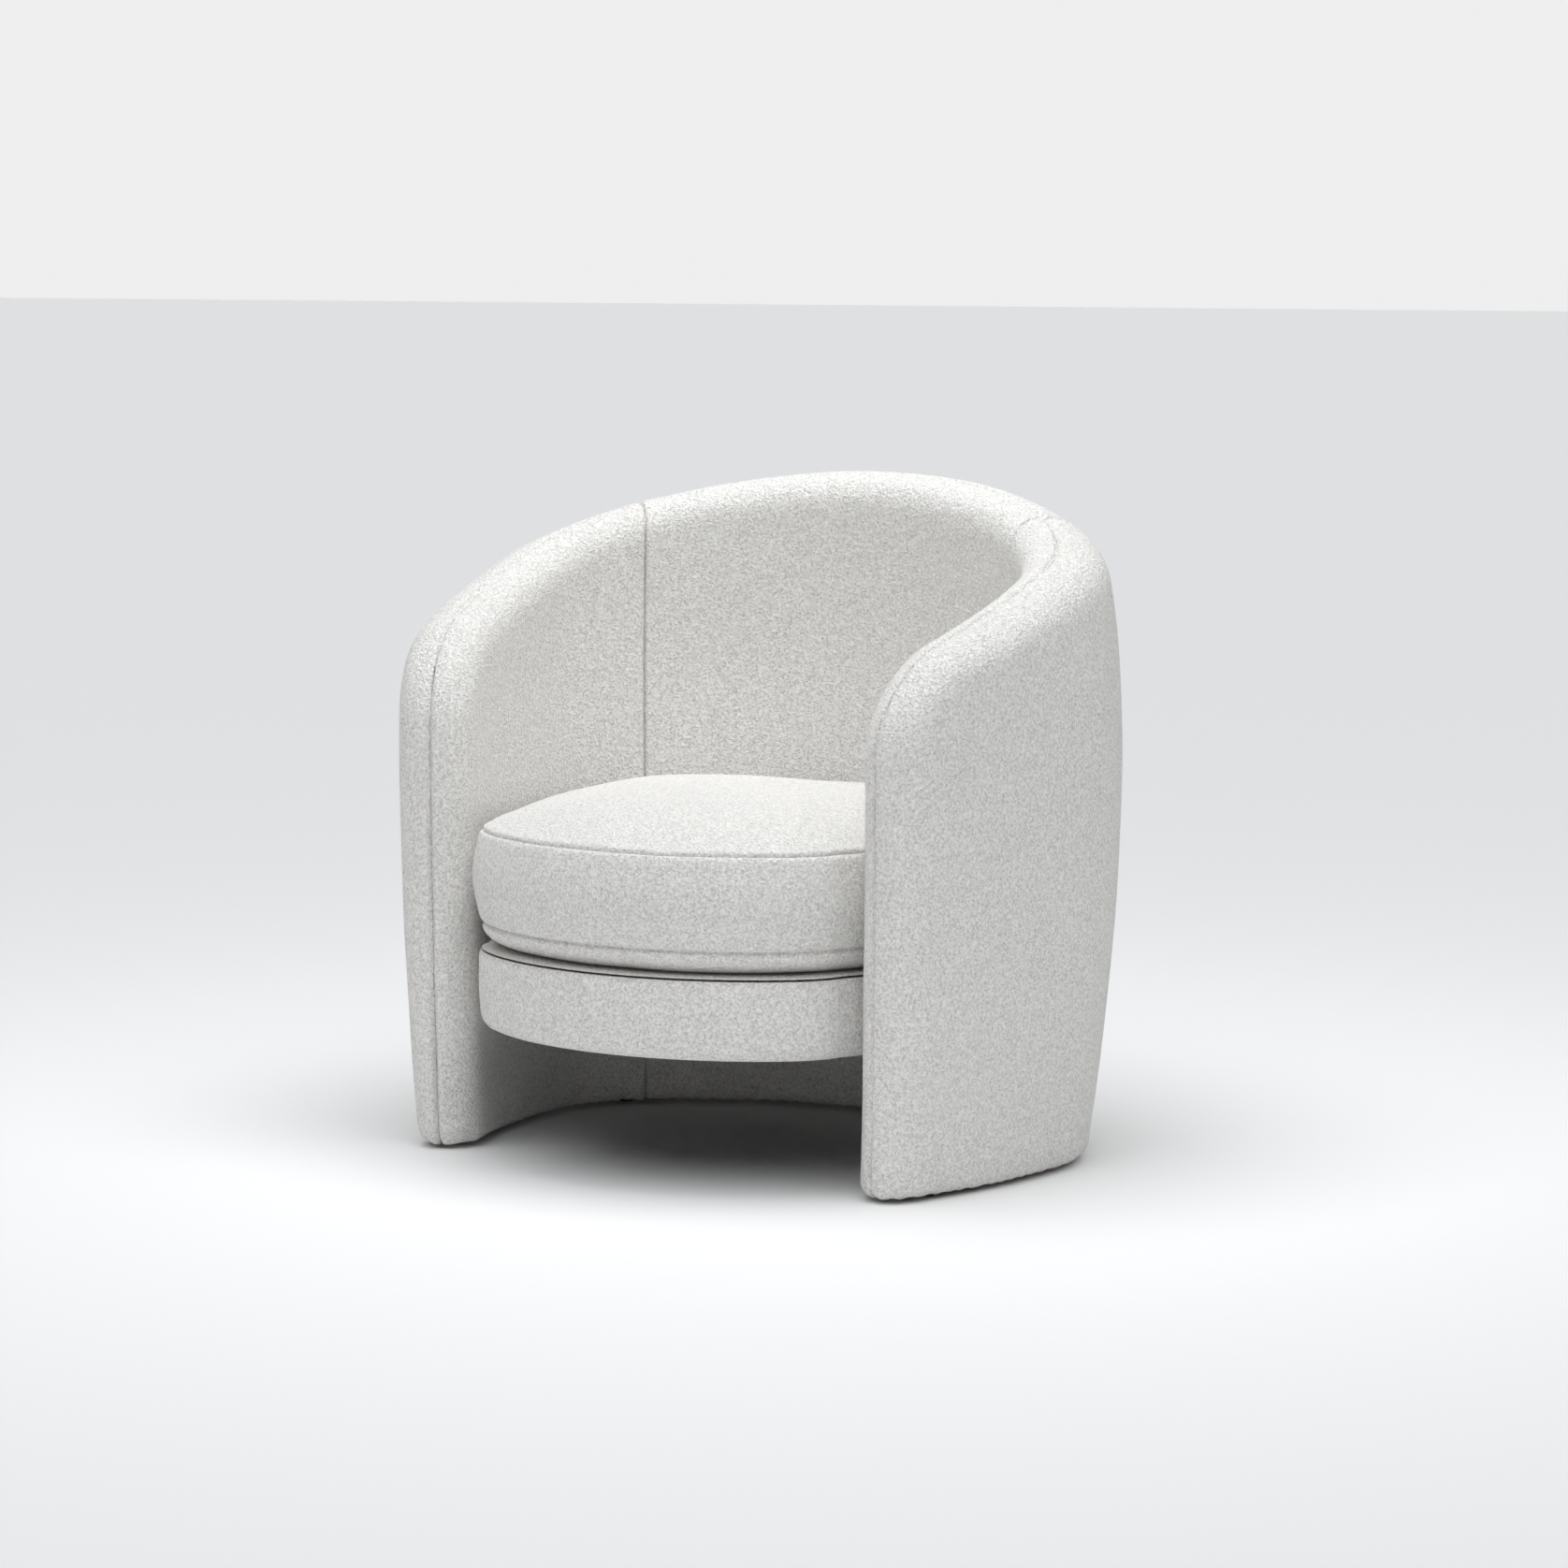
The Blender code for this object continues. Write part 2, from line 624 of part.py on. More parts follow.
def base_covers(radii):
    """The boucle band with its rounded lower edge, and the foam under it."""
    around = [JOINT] + list(range(1, SEAT_STATIONS)) + [SEAT_STATIONS - JOINT]

    def face(inset):
        radius = BASE_RADIUS - inset
        rows = [(BASE_FLAP, BASE_BOTTOM + inset)]
        for angle in (90.0, 60.0, 30.0, 0.0):
            turn = math.radians(angle)
            deep = BASE_RADIUS - radius * math.cos(turn)
            rows.append((deep, BASE_BOTTOM + BASE_RADIUS - radius * math.sin(turn)))
        return rows + [(inset, BASE_TOP)]

    seat_band("seat_base_cover", "boucle", radii, around, face(0.0), face(COVER))
    skin = COVER + GAP
    inset, lift = [BASE_RADIUS * share for share in BASE_FOAM_EDGE]
    low = BASE_BOTTOM + lift
    outer = [(inset, low), (skin, BASE_BOTTOM + BASE_RADIUS), (skin, BASE_TOP - GAP)]
    back = RAIL_INSET - GAP
    inner = [(back, low), (back, BASE_BOTTOM + BASE_RADIUS), (back, BASE_TOP - GAP)]
    seat_band("base_foam", "foam", radii, around, outer, inner)


def seat_frame(radii):
    """Four rails round the seat and a glued block behind each joint."""
    quarter = SEAT_STATIONS // 4
    eighth = SEAT_STATIONS // 8
    names = ("seat_side_rail_left", "seat_front_rail", "seat_side_rail_right", "seat_back_rail")
    inside = RAIL_INSET + RAIL_WIDTH
    for number, name in enumerate(names):
        first = eighth + number * quarter
        stations = list(range(first, first + quarter + 1))
        stations[0] += JOINT
        stations[-1] -= JOINT
        outer = [(RAIL_INSET, RAIL_BOTTOM), (RAIL_INSET, RAIL_TOP)]
        inner = [(inside, RAIL_BOTTOM), (inside, RAIL_TOP)]
        seat_band(name, "plywood", radii, stations, outer, inner)
        low = RAIL_BOTTOM + (RAIL_HEIGHT - BLOCK_HEIGHT) / 2
        high = low + BLOCK_HEIGHT
        near = inside + GAP
        far = near + BLOCK_WIDTH
        block = [first - 1, first, first + 1]
        outer = [(near, low), (near, high)]
        inner = [(far, low), (far, high)]
        seat_band(f"corner_block_{number + 1}", "plywood", radii, block, outer, inner)


def spring_ends(radii, x):
    """Where a spring's ends lie on the front and the back rail."""
    middle = RAIL_INSET + RAIL_WIDTH / 2
    spots = [seat_point(radii, number, middle, 0.0) for number in range(SEAT_STATIONS)]
    front = sorted((px, py) for px, py, _ in spots if py < SEAT_Y)
    back = sorted((px, py) for px, py, _ in spots if py > SEAT_Y)
    ends = []
    for line in (front, back):
        ends.append(float(np.interp(x, [p[0] for p in line], [p[1] for p in line])))
    return ends


def spring(name, x, front, back, height):
    """A sinuous spring: flat wire bends between two straight ends."""
    points = [(x, front, height), (x, front + SPRING_END, height)]
    steps = SPRING_BENDS * 4
    run = back - front - 2 * SPRING_END
    for step in range(1, steps):
        phase = step / 4 * math.pi
        bend = round(math.sin(phase), 6)
        wave = SPRING_SWING * math.copysign(abs(bend) ** SPRING_SQUARENESS, bend)
        points.append((x + wave, front + SPRING_END + run * step / steps, height))
    points += [(x, back - SPRING_END, height), (x, back, height)]
    curve = bpy.data.curves.new(name, "CURVE")
    curve.dimensions = "3D"
    curve.bevel_depth = WIRE_RADIUS
    curve.bevel_resolution = 1
    curve.use_fill_caps = True
    line = curve.splines.new("POLY")
    line.points.add(len(points) - 1)
    for point, spot in zip(line.points, points):
        point.co = (*spot, 1.0)
    item = bpy.data.objects.new(name, curve)
    CHAIR.objects.link(item)
    curve.materials.append(PAINT["spring_steel"])


def clip(name, x, y, toward):
    """A saddle clip over the end of a spring, with a tab each side on the rail."""
    inner_radius = WIRE_RADIUS + GAP
    floor = RAIL_TOP + GAP
    axis = floor + WIRE_RADIUS - GAP
    start = (SPRING_END - CLIP_LENGTH) / 2
    last = CLIP_STEPS + 2

    def place(column, row, inner):
        length = y + toward * (start + column * CLIP_LENGTH)
        radius = inner_radius if inner else inner_radius + CLIP_SHEET
        if row in (0, last):
            side = -1 if row == 0 else 1
            return x + side * (inner_radius + CLIP_TAB), length, floor if inner else floor + CLIP_SHEET
        angle = math.pi * (1 - (row - 1) / CLIP_STEPS)
        if row in (1, last - 1):
            return x + math.cos(angle) * radius, length, floor if inner else floor + CLIP_SHEET
        return x + math.cos(angle) * radius, length, axis + math.sin(angle) * radius

    sheet_solid(name, "spring_steel", 1, last, place)


def seat_springs(radii):
    height = RAIL_TOP + GAP + WIRE_RADIUS
    for number in range(5):
        x = (number - 2) * SPRING_SPACING
        front, back = spring_ends(radii, x)
        spring(f"seat_spring_{number + 1}", x, front, back, height)
        clip(f"spring_clip_{2 * number + 1}", x, front, 1)
        clip(f"spring_clip_{2 * number + 2}", x, back, -1)


def seat_base():
    radii = seat_radii(BASE_BOTTOM)
    base_covers(radii)
    seat_frame(radii)
    seat_springs(radii)
    pad_bottom = RAIL_TOP + 2 * WIRE_RADIUS + 2 * CLIP_SHEET + 3 * GAP
    pad = [(RAIL_INSET, pad_bottom), (RAIL_INSET, BASE_TOP - GAP)]
    seat_disc("deck_pad", "foam", radii, pad)
    seat_disc("deck_cloth", "boucle", radii, [(0.0, BASE_TOP + GAP), (0.0, BASE_TOP + GAP + DECK_CLOTH)])
    under = BASE_BOTTOM - GAP
    inset = BASE_RADIUS + LOOSE
    seat_disc("dust_cover", "cambric", radii, [(inset, under - DUST_COVER), (inset, under)])


# ---------------------------------------------------------------- the loose cushion
def zip_circle():
    """The arc of the cushion's back that the zip runs round: its radius and its centre's y."""
    beside = wall_radii(CUSHION_BOTTOM, 0.0)
    back_y = SEAT_Y + beside[0] - ZIP_SPACE
    angle = math.pi / 2 + ZIP_STATIONS * math.tau / SEAT_STATIONS
    radius = beside[ZIP_STATIONS] - (ZIP_SPACE + SEAT_CLEARANCE) / 2
    x = radius * math.cos(angle)
    fall = back_y - (SEAT_Y + radius * math.sin(angle))
    size = (x * x + fall * fall) / (2 * fall)
    return size, back_y - size


def cushion_radii():
    """The cushion's outline: the seat's, except that its back is the zip's arc."""
    radii = seat_radii(CUSHION_BOTTOM)
    size, centre = zip_circle()
    fade = 2  # stations over which the arc blends into the seat's outline
    reach = ZIP_STATIONS + fade
    for station in range(-reach, reach + 1):
        angle = math.pi / 2 + station * math.tau / SEAT_STATIONS
        rise = (centre - SEAT_Y) * math.sin(angle)
        arc = rise + math.sqrt(size * size - ((centre - SEAT_Y) * math.cos(angle)) ** 2)
        share = min(1.0, (reach - abs(station)) / fade)
        number = station % SEAT_STATIONS
        radii[number] = min(radii[number], share * arc + (1 - share) * radii[number])
    return radii


def cushion_rings(skin):
    """The cushion's section as (inset, height), bottom up, at a depth under its cover."""
    rise = CUSHION_CROWN - CUSHION_SEAM_HIGH
    drop = CUSHION_SEAM_LOW - CUSHION_BOTTOM
    rings = []
    for inset, share in CUSHION_UNDER:
        rings.append((inset + share * skin, CUSHION_BOTTOM + drop * share + skin))
    rings += [(skin, height) for height in (CUSHION_SEAM_LOW, ZIP_LEVEL, CUSHION_SEAM_HIGH)]
    for inset, share in CUSHION_TOP:
        rings.append((inset, CUSHION_SEAM_HIGH + rise * share - skin))
    return rings


def zip_band(name, material, depths, half_height, length):
    """An arc round the zip's circle, between two depths under the cushion's side."""
    size, centre = zip_circle()

    def place(column, row, inner):
        angle = math.pi / 2 + length / size * (column / ZIP_STEPS - 0.5)
        radius = size - (depths[1] if inner else depths[0])
        height = ZIP_LEVEL + half_height * (1 if row else -1)
        return radius * math.cos(angle), centre + radius * math.sin(angle), height

    return sheet_solid(name, material, ZIP_STEPS, 1, place)


def zip_slider():
    """The slider and its pull tab, at the closed end of the zip. Its origin is on the arc's axis."""
    size, centre = zip_circle()
    width, depth, height = SLIDER
    body = box("zip_slider", "nickel", SLIDER, (0.0, size + GAP + depth / 2, 0.0))
    tab_y = size + depth + PULL[1] / 2
    tab = box("pull_tab_shape", None, PULL, (0.0, tab_y, -height / 2 - PULL[2] / 2 + width / 2))
    join = body.modifiers.new("pull", "BOOLEAN")
    join.operation = "UNION"
    join.object = tab
    axis = bpy.data.objects.new("zip_axis", None)
    CHAIR.objects.link(axis)
    axis.location = (0.0, centre, ZIP_LEVEL)
    axis.rotation_euler = (0.0, 0.0, -(ZIP_LENGTH / 2 - ZIP_END) / size)
    body.parent = axis
    tab.parent = axis


def cushion():
    radii = cushion_radii()
    cover = seat_disc("cushion_cover", "boucle", radii, cushion_rings(0.0))
    hollow = seat_disc("cushion_hollow", None, radii, cushion_rings(COVER))
    cut(cover, hollow)
    slot = zip_band("zip_slot", None, (-2 * COVER, 2 * COVER), ZIP_HEIGHT / 2, ZIP_LENGTH)
    cut(cover, slot)
    seat_disc("cushion_foam", "foam", radii, cushion_rings(COVER + GAP))
    near = COVER - GAP - ZIP_TAPE
    tape = (near, near + ZIP_TAPE)
    zip_band("zip_tape", "zip_cloth", tape, ZIP_HEIGHT / 2 - GAP, ZIP_LENGTH - 3 * GAP)
    zip_slider()


clear_scene()
CHAIR = new_collection("barrel_armchair")
CUTTERS = new_collection("cutters")
PAINT = {name: new_material(name) for name in MATERIALS}
wall()
seat_base()
cushion()
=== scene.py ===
"""Looks of the barrel armchair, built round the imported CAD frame.

The upholstery is made of padded pieces: six on the C-shaped wall, a band and a deck on the seat
base, and the loose cushion, whose cloth is swelled by simulation. Metres, +Z up, front at -Y.
"""

import json
import math

import bpy
import numpy as np
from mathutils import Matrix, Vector, noise


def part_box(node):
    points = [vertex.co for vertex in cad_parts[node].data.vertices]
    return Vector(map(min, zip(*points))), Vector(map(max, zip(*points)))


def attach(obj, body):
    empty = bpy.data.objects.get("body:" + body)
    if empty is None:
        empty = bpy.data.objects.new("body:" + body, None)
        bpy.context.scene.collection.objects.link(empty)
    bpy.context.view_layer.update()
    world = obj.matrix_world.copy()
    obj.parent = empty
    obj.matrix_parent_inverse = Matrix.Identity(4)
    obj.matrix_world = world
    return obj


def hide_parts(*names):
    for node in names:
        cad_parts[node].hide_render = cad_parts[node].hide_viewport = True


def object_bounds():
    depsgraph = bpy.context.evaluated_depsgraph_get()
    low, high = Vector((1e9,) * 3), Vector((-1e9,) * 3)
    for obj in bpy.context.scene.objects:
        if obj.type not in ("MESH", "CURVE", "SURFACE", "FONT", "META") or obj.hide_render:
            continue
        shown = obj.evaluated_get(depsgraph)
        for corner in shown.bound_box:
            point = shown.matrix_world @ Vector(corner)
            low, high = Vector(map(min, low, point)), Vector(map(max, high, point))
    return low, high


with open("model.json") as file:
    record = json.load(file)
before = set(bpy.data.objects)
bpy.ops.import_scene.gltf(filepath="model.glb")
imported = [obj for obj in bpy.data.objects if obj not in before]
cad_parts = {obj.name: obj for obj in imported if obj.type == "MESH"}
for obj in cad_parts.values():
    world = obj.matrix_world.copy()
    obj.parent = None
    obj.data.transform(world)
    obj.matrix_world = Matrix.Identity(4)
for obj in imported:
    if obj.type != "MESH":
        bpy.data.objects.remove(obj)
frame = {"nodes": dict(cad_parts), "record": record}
cad_low, cad_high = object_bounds()

# ---------------------------------------------------------------- sizes, as the CAD solids have them
HEIGHT = cad_high.z
ARM_HEIGHT = 0.570  # floor to the rim's sloping plane at the arm fronts
HALF_WIDTH = 0.353  # middle of the chair to the middle of the wall, at its widest line
BACK_REACH = 0.238  # widest line to the middle of the wall behind the sitter
ARM_REACH = 0.278  # widest line to the arm fronts
TOE_IN = 0.058  # how far an arm front turns in
BACK_POWER = 1.85  # 2 would make the back half an ellipse
WALL = 0.088  # thickness of the padded wall
CORNER = 0.094  # radius of an arm's front top corner, seen from the side
NOSE_POWER = 2.2  # 2 would make the wall's edge a half circle
BELLY_HEIGHT = 0.479  # height at which the barrel is widest
BELLY = 0.0275  # how much thicker the back is there, on its outer side
FLOOR_TUCK = 0.007  # how far the wall stands in at the floor
FLOOR_CUT = 0.012  # how much thinner it is there, on its outer side
RIM_TUCK = 0.027  # how far the back's rim leans in
FOOT = 0.005  # floor to the underside of the covers
FOOT_RADIUS = 0.016  # rounding of the wall's lower edges
FLAP_END = 0.009  # middle of the wall to the end of a cover turned under it
CORE = 0.0168  # middle of the wall to the back of its padding
COVER = 0.0025  # boucle with its backing
GAP = 0.0003  # between pieces that touch
LOOSE = 0.003  # slack where foam ends inside a cover
PAD_BACK = 0.007  # cloth to the back of a wall pad, where the wall is rounded
FRONT_RADIUS = 0.346  # radius of the seat's round front
SEAT_REACH = 0.3706  # widest line to the front of the seat
SEAT_CLEARANCE = 0.005  # between the seat or cushion and the wall
CORNER_ROUNDING = 14.0  # higher makes the seat's front corners sharper
BASE_BOTTOM = 0.148  # floor to the underside of the seat base
BASE_TOP = 0.239  # floor to the top seam of the seat base
BASE_RADIUS = 0.020  # rounding of its lower edge
BASE_FLAP = 0.032  # how far the cover is turned under
BAND_BACK = 0.0215  # outside of the base to the back of its padding, just off the rails
CUSHION_SEAM_LOW = 0.268  # floor to the lower seam of the boxing
CUSHION_SEAM_HIGH = 0.374  # floor to the upper seam
CUSHION_CROWN = 0.421  # floor to the top of the crown
ZIP_SPACE = 0.013  # behind the cushion, for the zip's slider
ZIP_LENGTH = 0.260  # round the middle of the cushion's back
ZIP_HEIGHT = 0.026
ZIP_RECESS = 0.0034  # cloth to the zip's tape
EDGE = WALL / 2  # radius of the rounded rim and arm fronts
WIDEST_Y = (SEAT_REACH - (BACK_REACH + EDGE + BELLY)) / 2  # this centres the whole chair
SEAT_Y = WIDEST_Y - SEAT_REACH + FRONT_RADIUS  # centre of the seat's round front
CUSHION_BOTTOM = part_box("cushion_cover")[0].z

# ---------------------------------------------------------------- stitching and softness
SEAM_DEPTH = 0.0046  # how far the cloth is drawn in along a seam
SEAM_WIDTH = 0.0021
SEAM_LIP = 0.0008  # how far the seam allowance lifts the cloth beside it
SEAM_LIP_AT = 0.0085
SOFT_SWELL = 0.0011  # slow unevenness of the padding
SOFT_SIZE = 0.11
PUCKER = 0.0009  # gathers where the cloth turns under
PUCKER_PITCH = 0.021
PUCKER_HEIGHT = 0.028
GRID = 0.0065  # size of the wall's mesh cells
SEAT_ANGLES = 200  # stations round the seat
PRESSURE = 4.0  # of the air that swells the cushion's cloth
SWELL_CAP = 0.016  # furthest that a point of the cushion may move
SWELL_FRAMES = 20
BOXING_BULGE = 0.008  # how far the cushion's free sides stand out
WALL_ROOM = 0.0012  # least space between the cushion and the wall
PUCKER_SWAY = 5.0  # how unevenly the wall's gathers are spaced
NOSE_RUN = 0.04  # cloth round an arm's front, as the gathers count it
ZIP_SPREAD = 36.0  # degrees each side of the middle where the cushion follows the zip's arc
ZIP_FADE = 18.0  # degrees over which it turns back into the seat's outline

# ---------------------------------------------------------------- rows and columns of the meshes
PLAN_STEPS = 400  # of the arm, and of the back, in the wall's middle line
WALL_ROWS = 88  # of the wall, between its foot and its rim
SEAM_ROOM = 0.013  # no evenly spaced column stands nearer to an upright seam
SEAM_COLUMNS = (0.0115, 0.0085, 0.006, 0.0042, 0.0028, 0.0016, 0.0007, GAP / 2)  # seam to column
LINE_STEPS = 500  # of the wall's inner line, as seen from the seat's centre
AHEAD_STEPS = 60  # of them, at the arm's front, that give the line's direction past it
AHEAD_TIMES = 4.0  # how far it runs on, in lengths of those steps
LEAST_RADIUS = 0.002  # of a ring of the seat

# ---------------------------------------------------------------- the band round the base
BAND_STEPS = 17
BAND_BULGE = 0.0022
BAND_SEAM_ROWS = (0.0042, 0.0028, 0.0016, 0.0006)  # below the base's top
BAND_LIP = 0.0024  # inset of the cloth's edge at the top seam
BAND_LIP_DROP = 0.0001
BAND_INSIDE_DROP = 0.0012  # base's top to the top of the band's inner side
BAND_FLAP_STEP = 0.002
BAND_SEAM_DROP = 0.0002
BAND_OUTSIDE = 0.010  # rows nearer to the outside than this are cloth that shows
BAND_SOFT_SIZE = 0.08
BAND_PUCKER_HEIGHT = 0.02

# ---------------------------------------------------------------- the deck and the dust cover
DECK_UNDER = (0.24, 0.12)  # insets of the rows under the deck
DECK_ROOM = 0.001  # band's back to the deck's pad
DECK_TUCK = 0.0035  # inset where the deck's cloth turns under
DECK_NOSE = 0.0015  # inset of its outermost point
DECK_EDGE = 0.0022  # inset where its top begins
DECK_LIP = 0.0012  # height of that edge over the base's top
DECK_REACH = 0.30  # inset of the last row of its top
DECK_STEPS = 39
DECK_SPACING = 1.4  # 1 would space the rows evenly
DECK_RISE = 0.03  # width of the edge over which the deck rises
DECK_DIP = 0.0006
DECK_DIP_SIZE = 0.06
DUST_REACH = 0.27
DUST_RINGS = 30
DUST_SPACING = 1.2
DUST_SAG = 0.004
DUST_SAG_WIDTH = 0.08  # edge to where the cloth hangs most
DUST_RIPPLE = 0.0012
DUST_RIPPLE_SIZE = 0.05
DUST_RIPPLE_WIDTH = 0.02

# ---------------------------------------------------------------- the cushion before it swells
CUSHION_SLACK = 0.003  # CAD cushion to the cloth before it swells
CUSHION_ROUND = 0.040  # how far the underside rounds in
UNDER_INSETS = (0.26, 0.20, 0.15, 0.11, 0.08, 0.06)
ROUND_SHARES = (0.08, 0.17, 0.25, 0.33, 0.42, 0.50, 0.58, 0.67, 0.75, 0.83, 0.90, 0.94, 0.97, 1.0)
SEAM_SHARES = (0.012, 0.025, 0.045)  # of the boxing, where rows stand close to its seams
BOXING_ROWS = 20
BOXING_ROW_END = 0.08  # share of the boxing below the first of them and above the last
CROWN_LEFT = 0.006  # of the crown, which the swelling adds
CROWN_REACH = 0.21  # upper seam to where the crown is flat
CROWN_POWER = 2.6
TOP_CLOSE = (0.0012, 0.0026, 0.0048, 0.008)  # rows close to the upper seam
TOP_START = 0.012
TOP_SPAN = 0.29
TOP_ROWS = 46
TOP_SPACING = 1.2
TOP_LIP = 0.0012  # how far the top stands up just inside the upper seam
TOP_LIP_AT = 0.004
TOP_LIP_WIDTH = 0.0035
CUSHION_SOFT_SIZE = 0.09
CUSHION_PUCKER_WIDTH = 0.02
LEAST_LIMIT = 0.01  # of the cushion's reach from its middle
RECESS_ALONG = 0.004  # how far the zip's recess runs on past each end of the zip
RECESS_ALONG_FADE = 0.006
RECESS_UP = 0.002  # and over and under it
RECESS_UP_FADE = 0.003
RECESS_BEHIND = 0.9  # of the zip's radius: points further back than this may be set in


# ---------------------------------------------------------------- mesh helpers
def add_mesh(name, points, faces, material):
    """A smooth-shaded mesh object in the scene."""
    mesh = bpy.data.meshes.new(name)
    mesh.from_pydata([tuple(p) for p in points], [], faces)
    mesh.update()
    mesh.shade_smooth()
    mesh.materials.append(material)
    piece = bpy.data.objects.new(name, mesh)
    bpy.context.scene.collection.objects.link(piece)
    return piece


def grid_quads(rows, columns, start, flip, wrap=False):
    """Quads of a grid of points, numbered row by row from start."""
    quads = []
    last = columns if wrap else columns - 1
    for row in range(rows - 1):
        for column in range(last):
            a = start + row * columns + column
            b = start + row * columns + (column + 1) % columns
            quad = (a, b, b + columns, a + columns)
            quads.append(quad[::-1] if flip else quad)
    return quads


def pad_mesh(name, front, back, flip, material):
    """A closed pad between two grids of points of the same size."""
    rows, columns, _ = front.shape
    count = rows * columns
    faces = grid_quads(rows, columns, 0, flip) + grid_quads(rows, columns, count, not flip)
    rim = [(0, c) for c in range(columns)] + [(r, columns - 1) for r in range(1, rows)]
    rim += [(rows - 1, c) for c in range(columns - 2, -1, -1)] + [(r, 0) for r in range(rows - 2, 0, -1)]
    for here, after in zip(rim, rim[1:] + rim[:1]):
        a = here[0] * columns + here[1]
        b = after[0] * columns + after[1]
        side = (a, a + count, b + count, b)
        faces.append(side[::-1] if flip else side)
    points = np.concatenate([front.reshape(-1, 3), back.reshape(-1, 3)])
    return add_mesh(name, points, faces, material)


def disc_mesh(name, rings, material):
    """A closed solid of rings of points, bottom up, with a point at the middle of each end."""
    rows, columns, _ = rings.shape
    points = np.concatenate([rings.reshape(-1, 3), [rings[0].mean(0)], [rings[-1].mean(0)]])
    faces = grid_quads(rows, columns, 0, False, wrap=True)
    low = rows * columns
    top = (rows - 1) * columns
    for column in range(columns):
        after = (column + 1) % columns
        faces.append((after, column, low))
        faces.append((top + column, top + after, low + 1))
    return add_mesh(name, points, faces, material)


def ring_mesh(name, rings, material):
    """A closed band round the seat: rings of points in a closed section."""
    rows, columns, _ = rings.shape
    faces = grid_quads(rows, columns, 0, False, wrap=True)
    for column in range(columns):
        after = (column + 1) % columns
        a = (rows - 1) * columns
        faces.append((a + column, a + after, after, column))
    return add_mesh(name, rings.reshape(-1, 3), faces, material)


def grid_normals(points, wrap=False):
    """Unit normals of a grid of points, pointing to the left of the rows seen along the columns."""
    along = np.gradient(points, axis=0)
    if wrap:
        across = (np.roll(points, -1, axis=1) - np.roll(points, 1, axis=1)) / 2
    else:
        across = np.gradient(points, axis=1)
    normals = np.cross(across, along)
    size = np.linalg.norm(normals, axis=2, keepdims=True)
    return normals / np.maximum(size, 1e-12)


def soft_noise(points, size, seed):
    """Slow noise from -1 to 1 at each point."""
    flat = points.reshape(-1, 3) / size + seed
    values = [noise.noise(Vector(p)) for p in flat]
    return np.array(values).reshape(points.shape[:-1])


def seam_profile(distance):
    """How far cloth stands out at a distance from a seam: drawn in at it, lifted beside it."""
    drawn = SEAM_DEPTH * np.exp(-((distance / SEAM_WIDTH) ** 2))
    lifted = SEAM_LIP * np.exp(-(((distance - SEAM_LIP_AT) / SEAM_LIP_AT) ** 2))
    return lifted - drawn


# ---------------------------------------------------------------- the wall
def plan_table():
    """The wall's middle line: reach from the right arm's front, place and outward direction."""
    arm_y = np.linspace(WIDEST_Y - ARM_REACH, WIDEST_Y, PLAN_STEPS)
    arm_x = HALF_WIDTH - TOE_IN * ((WIDEST_Y - arm_y) / ARM_REACH) ** 2
    turn = np.linspace(0.0, math.pi / 2, PLAN_STEPS)
    back_x = HALF_WIDTH * np.cos(turn).clip(0.0) ** (2 / BACK_POWER)
    back_y = WIDEST_Y + BACK_REACH * np.sin(turn) ** (2 / BACK_POWER)
    x = np.concatenate([arm_x[:-1], back_x])
    y = np.concatenate([arm_y[:-1], back_y])
    reach = np.concatenate([[0.0], np.cumsum(np.hypot(np.diff(x), np.diff(y)))])
    out_x = np.gradient(y, reach)
    out_y = -np.gradient(x, reach)
    out_x[-1] = 0.0
    size = np.hypot(out_x, out_y)
    return reach, x, y, out_x / size, out_y / size


PLAN_REACH, PLAN_X, PLAN_Y, OUT_X, OUT_Y = plan_table()
HALF_LENGTH = PLAN_REACH[-1]
PANEL_SEAM = EDGE + (HALF_LENGTH - EDGE) * 0.5**0.85  # arm front to a cover's upright seam


def rim_height(reach):
    """Height of the rim, which rises from the arms' fronts to the middle of the back."""
    y = np.interp(reach, PLAN_REACH, PLAN_Y)
    return ARM_HEIGHT + (HEIGHT - ARM_HEIGHT) * (y - PLAN_Y[0]) / (PLAN_Y[-1] - PLAN_Y[0])


def back_share(reach):
    """0 at an arm's front, 1 at the middle of the back."""
    return np.sin(reach / HALF_LENGTH * math.pi / 2)


def barrel(height):
    """How far a height is below and above the belly's line, squared, each from 0 to 1."""
    low = np.maximum(0.0, (BELLY_HEIGHT - height) / BELLY_HEIGHT) ** 2
    high = np.maximum(0.0, (height - BELLY_HEIGHT) / (HEIGHT - BELLY_HEIGHT)) ** 2
    return low, high


def outer_half(reach, height):
    """The wall's middle surface to its outer side, which bellies out at the back."""
    low, high = barrel(height)
    belly = BELLY * back_share(reach)
    return EDGE + belly * (1.0 - high) - (belly + FLOOR_CUT) * low


def wall_points(side, reach, height, offset):
    """Points of the wall, at an offset outwards from its middle surface."""
    low, high = barrel(height)
    out = offset - FLOOR_TUCK * low - back_share(reach) * RIM_TUCK * high
    x = np.interp(reach, PLAN_REACH, PLAN_X) + out * np.interp(reach, PLAN_REACH, OUT_X)
    y = np.interp(reach, PLAN_REACH, PLAN_Y) + out * np.interp(reach, PLAN_REACH, OUT_Y)
    return np.stack([side * x, y, height], axis=-1)


def nose_depth(angle, inset):
    """Depth behind the front, or under the rim, of a point of the rounded edge at an angle."""
    run = np.maximum(np.cos(np.radians(angle)), 0.0) ** (2 / NOSE_POWER)
    return EDGE - (EDGE - inset) * run


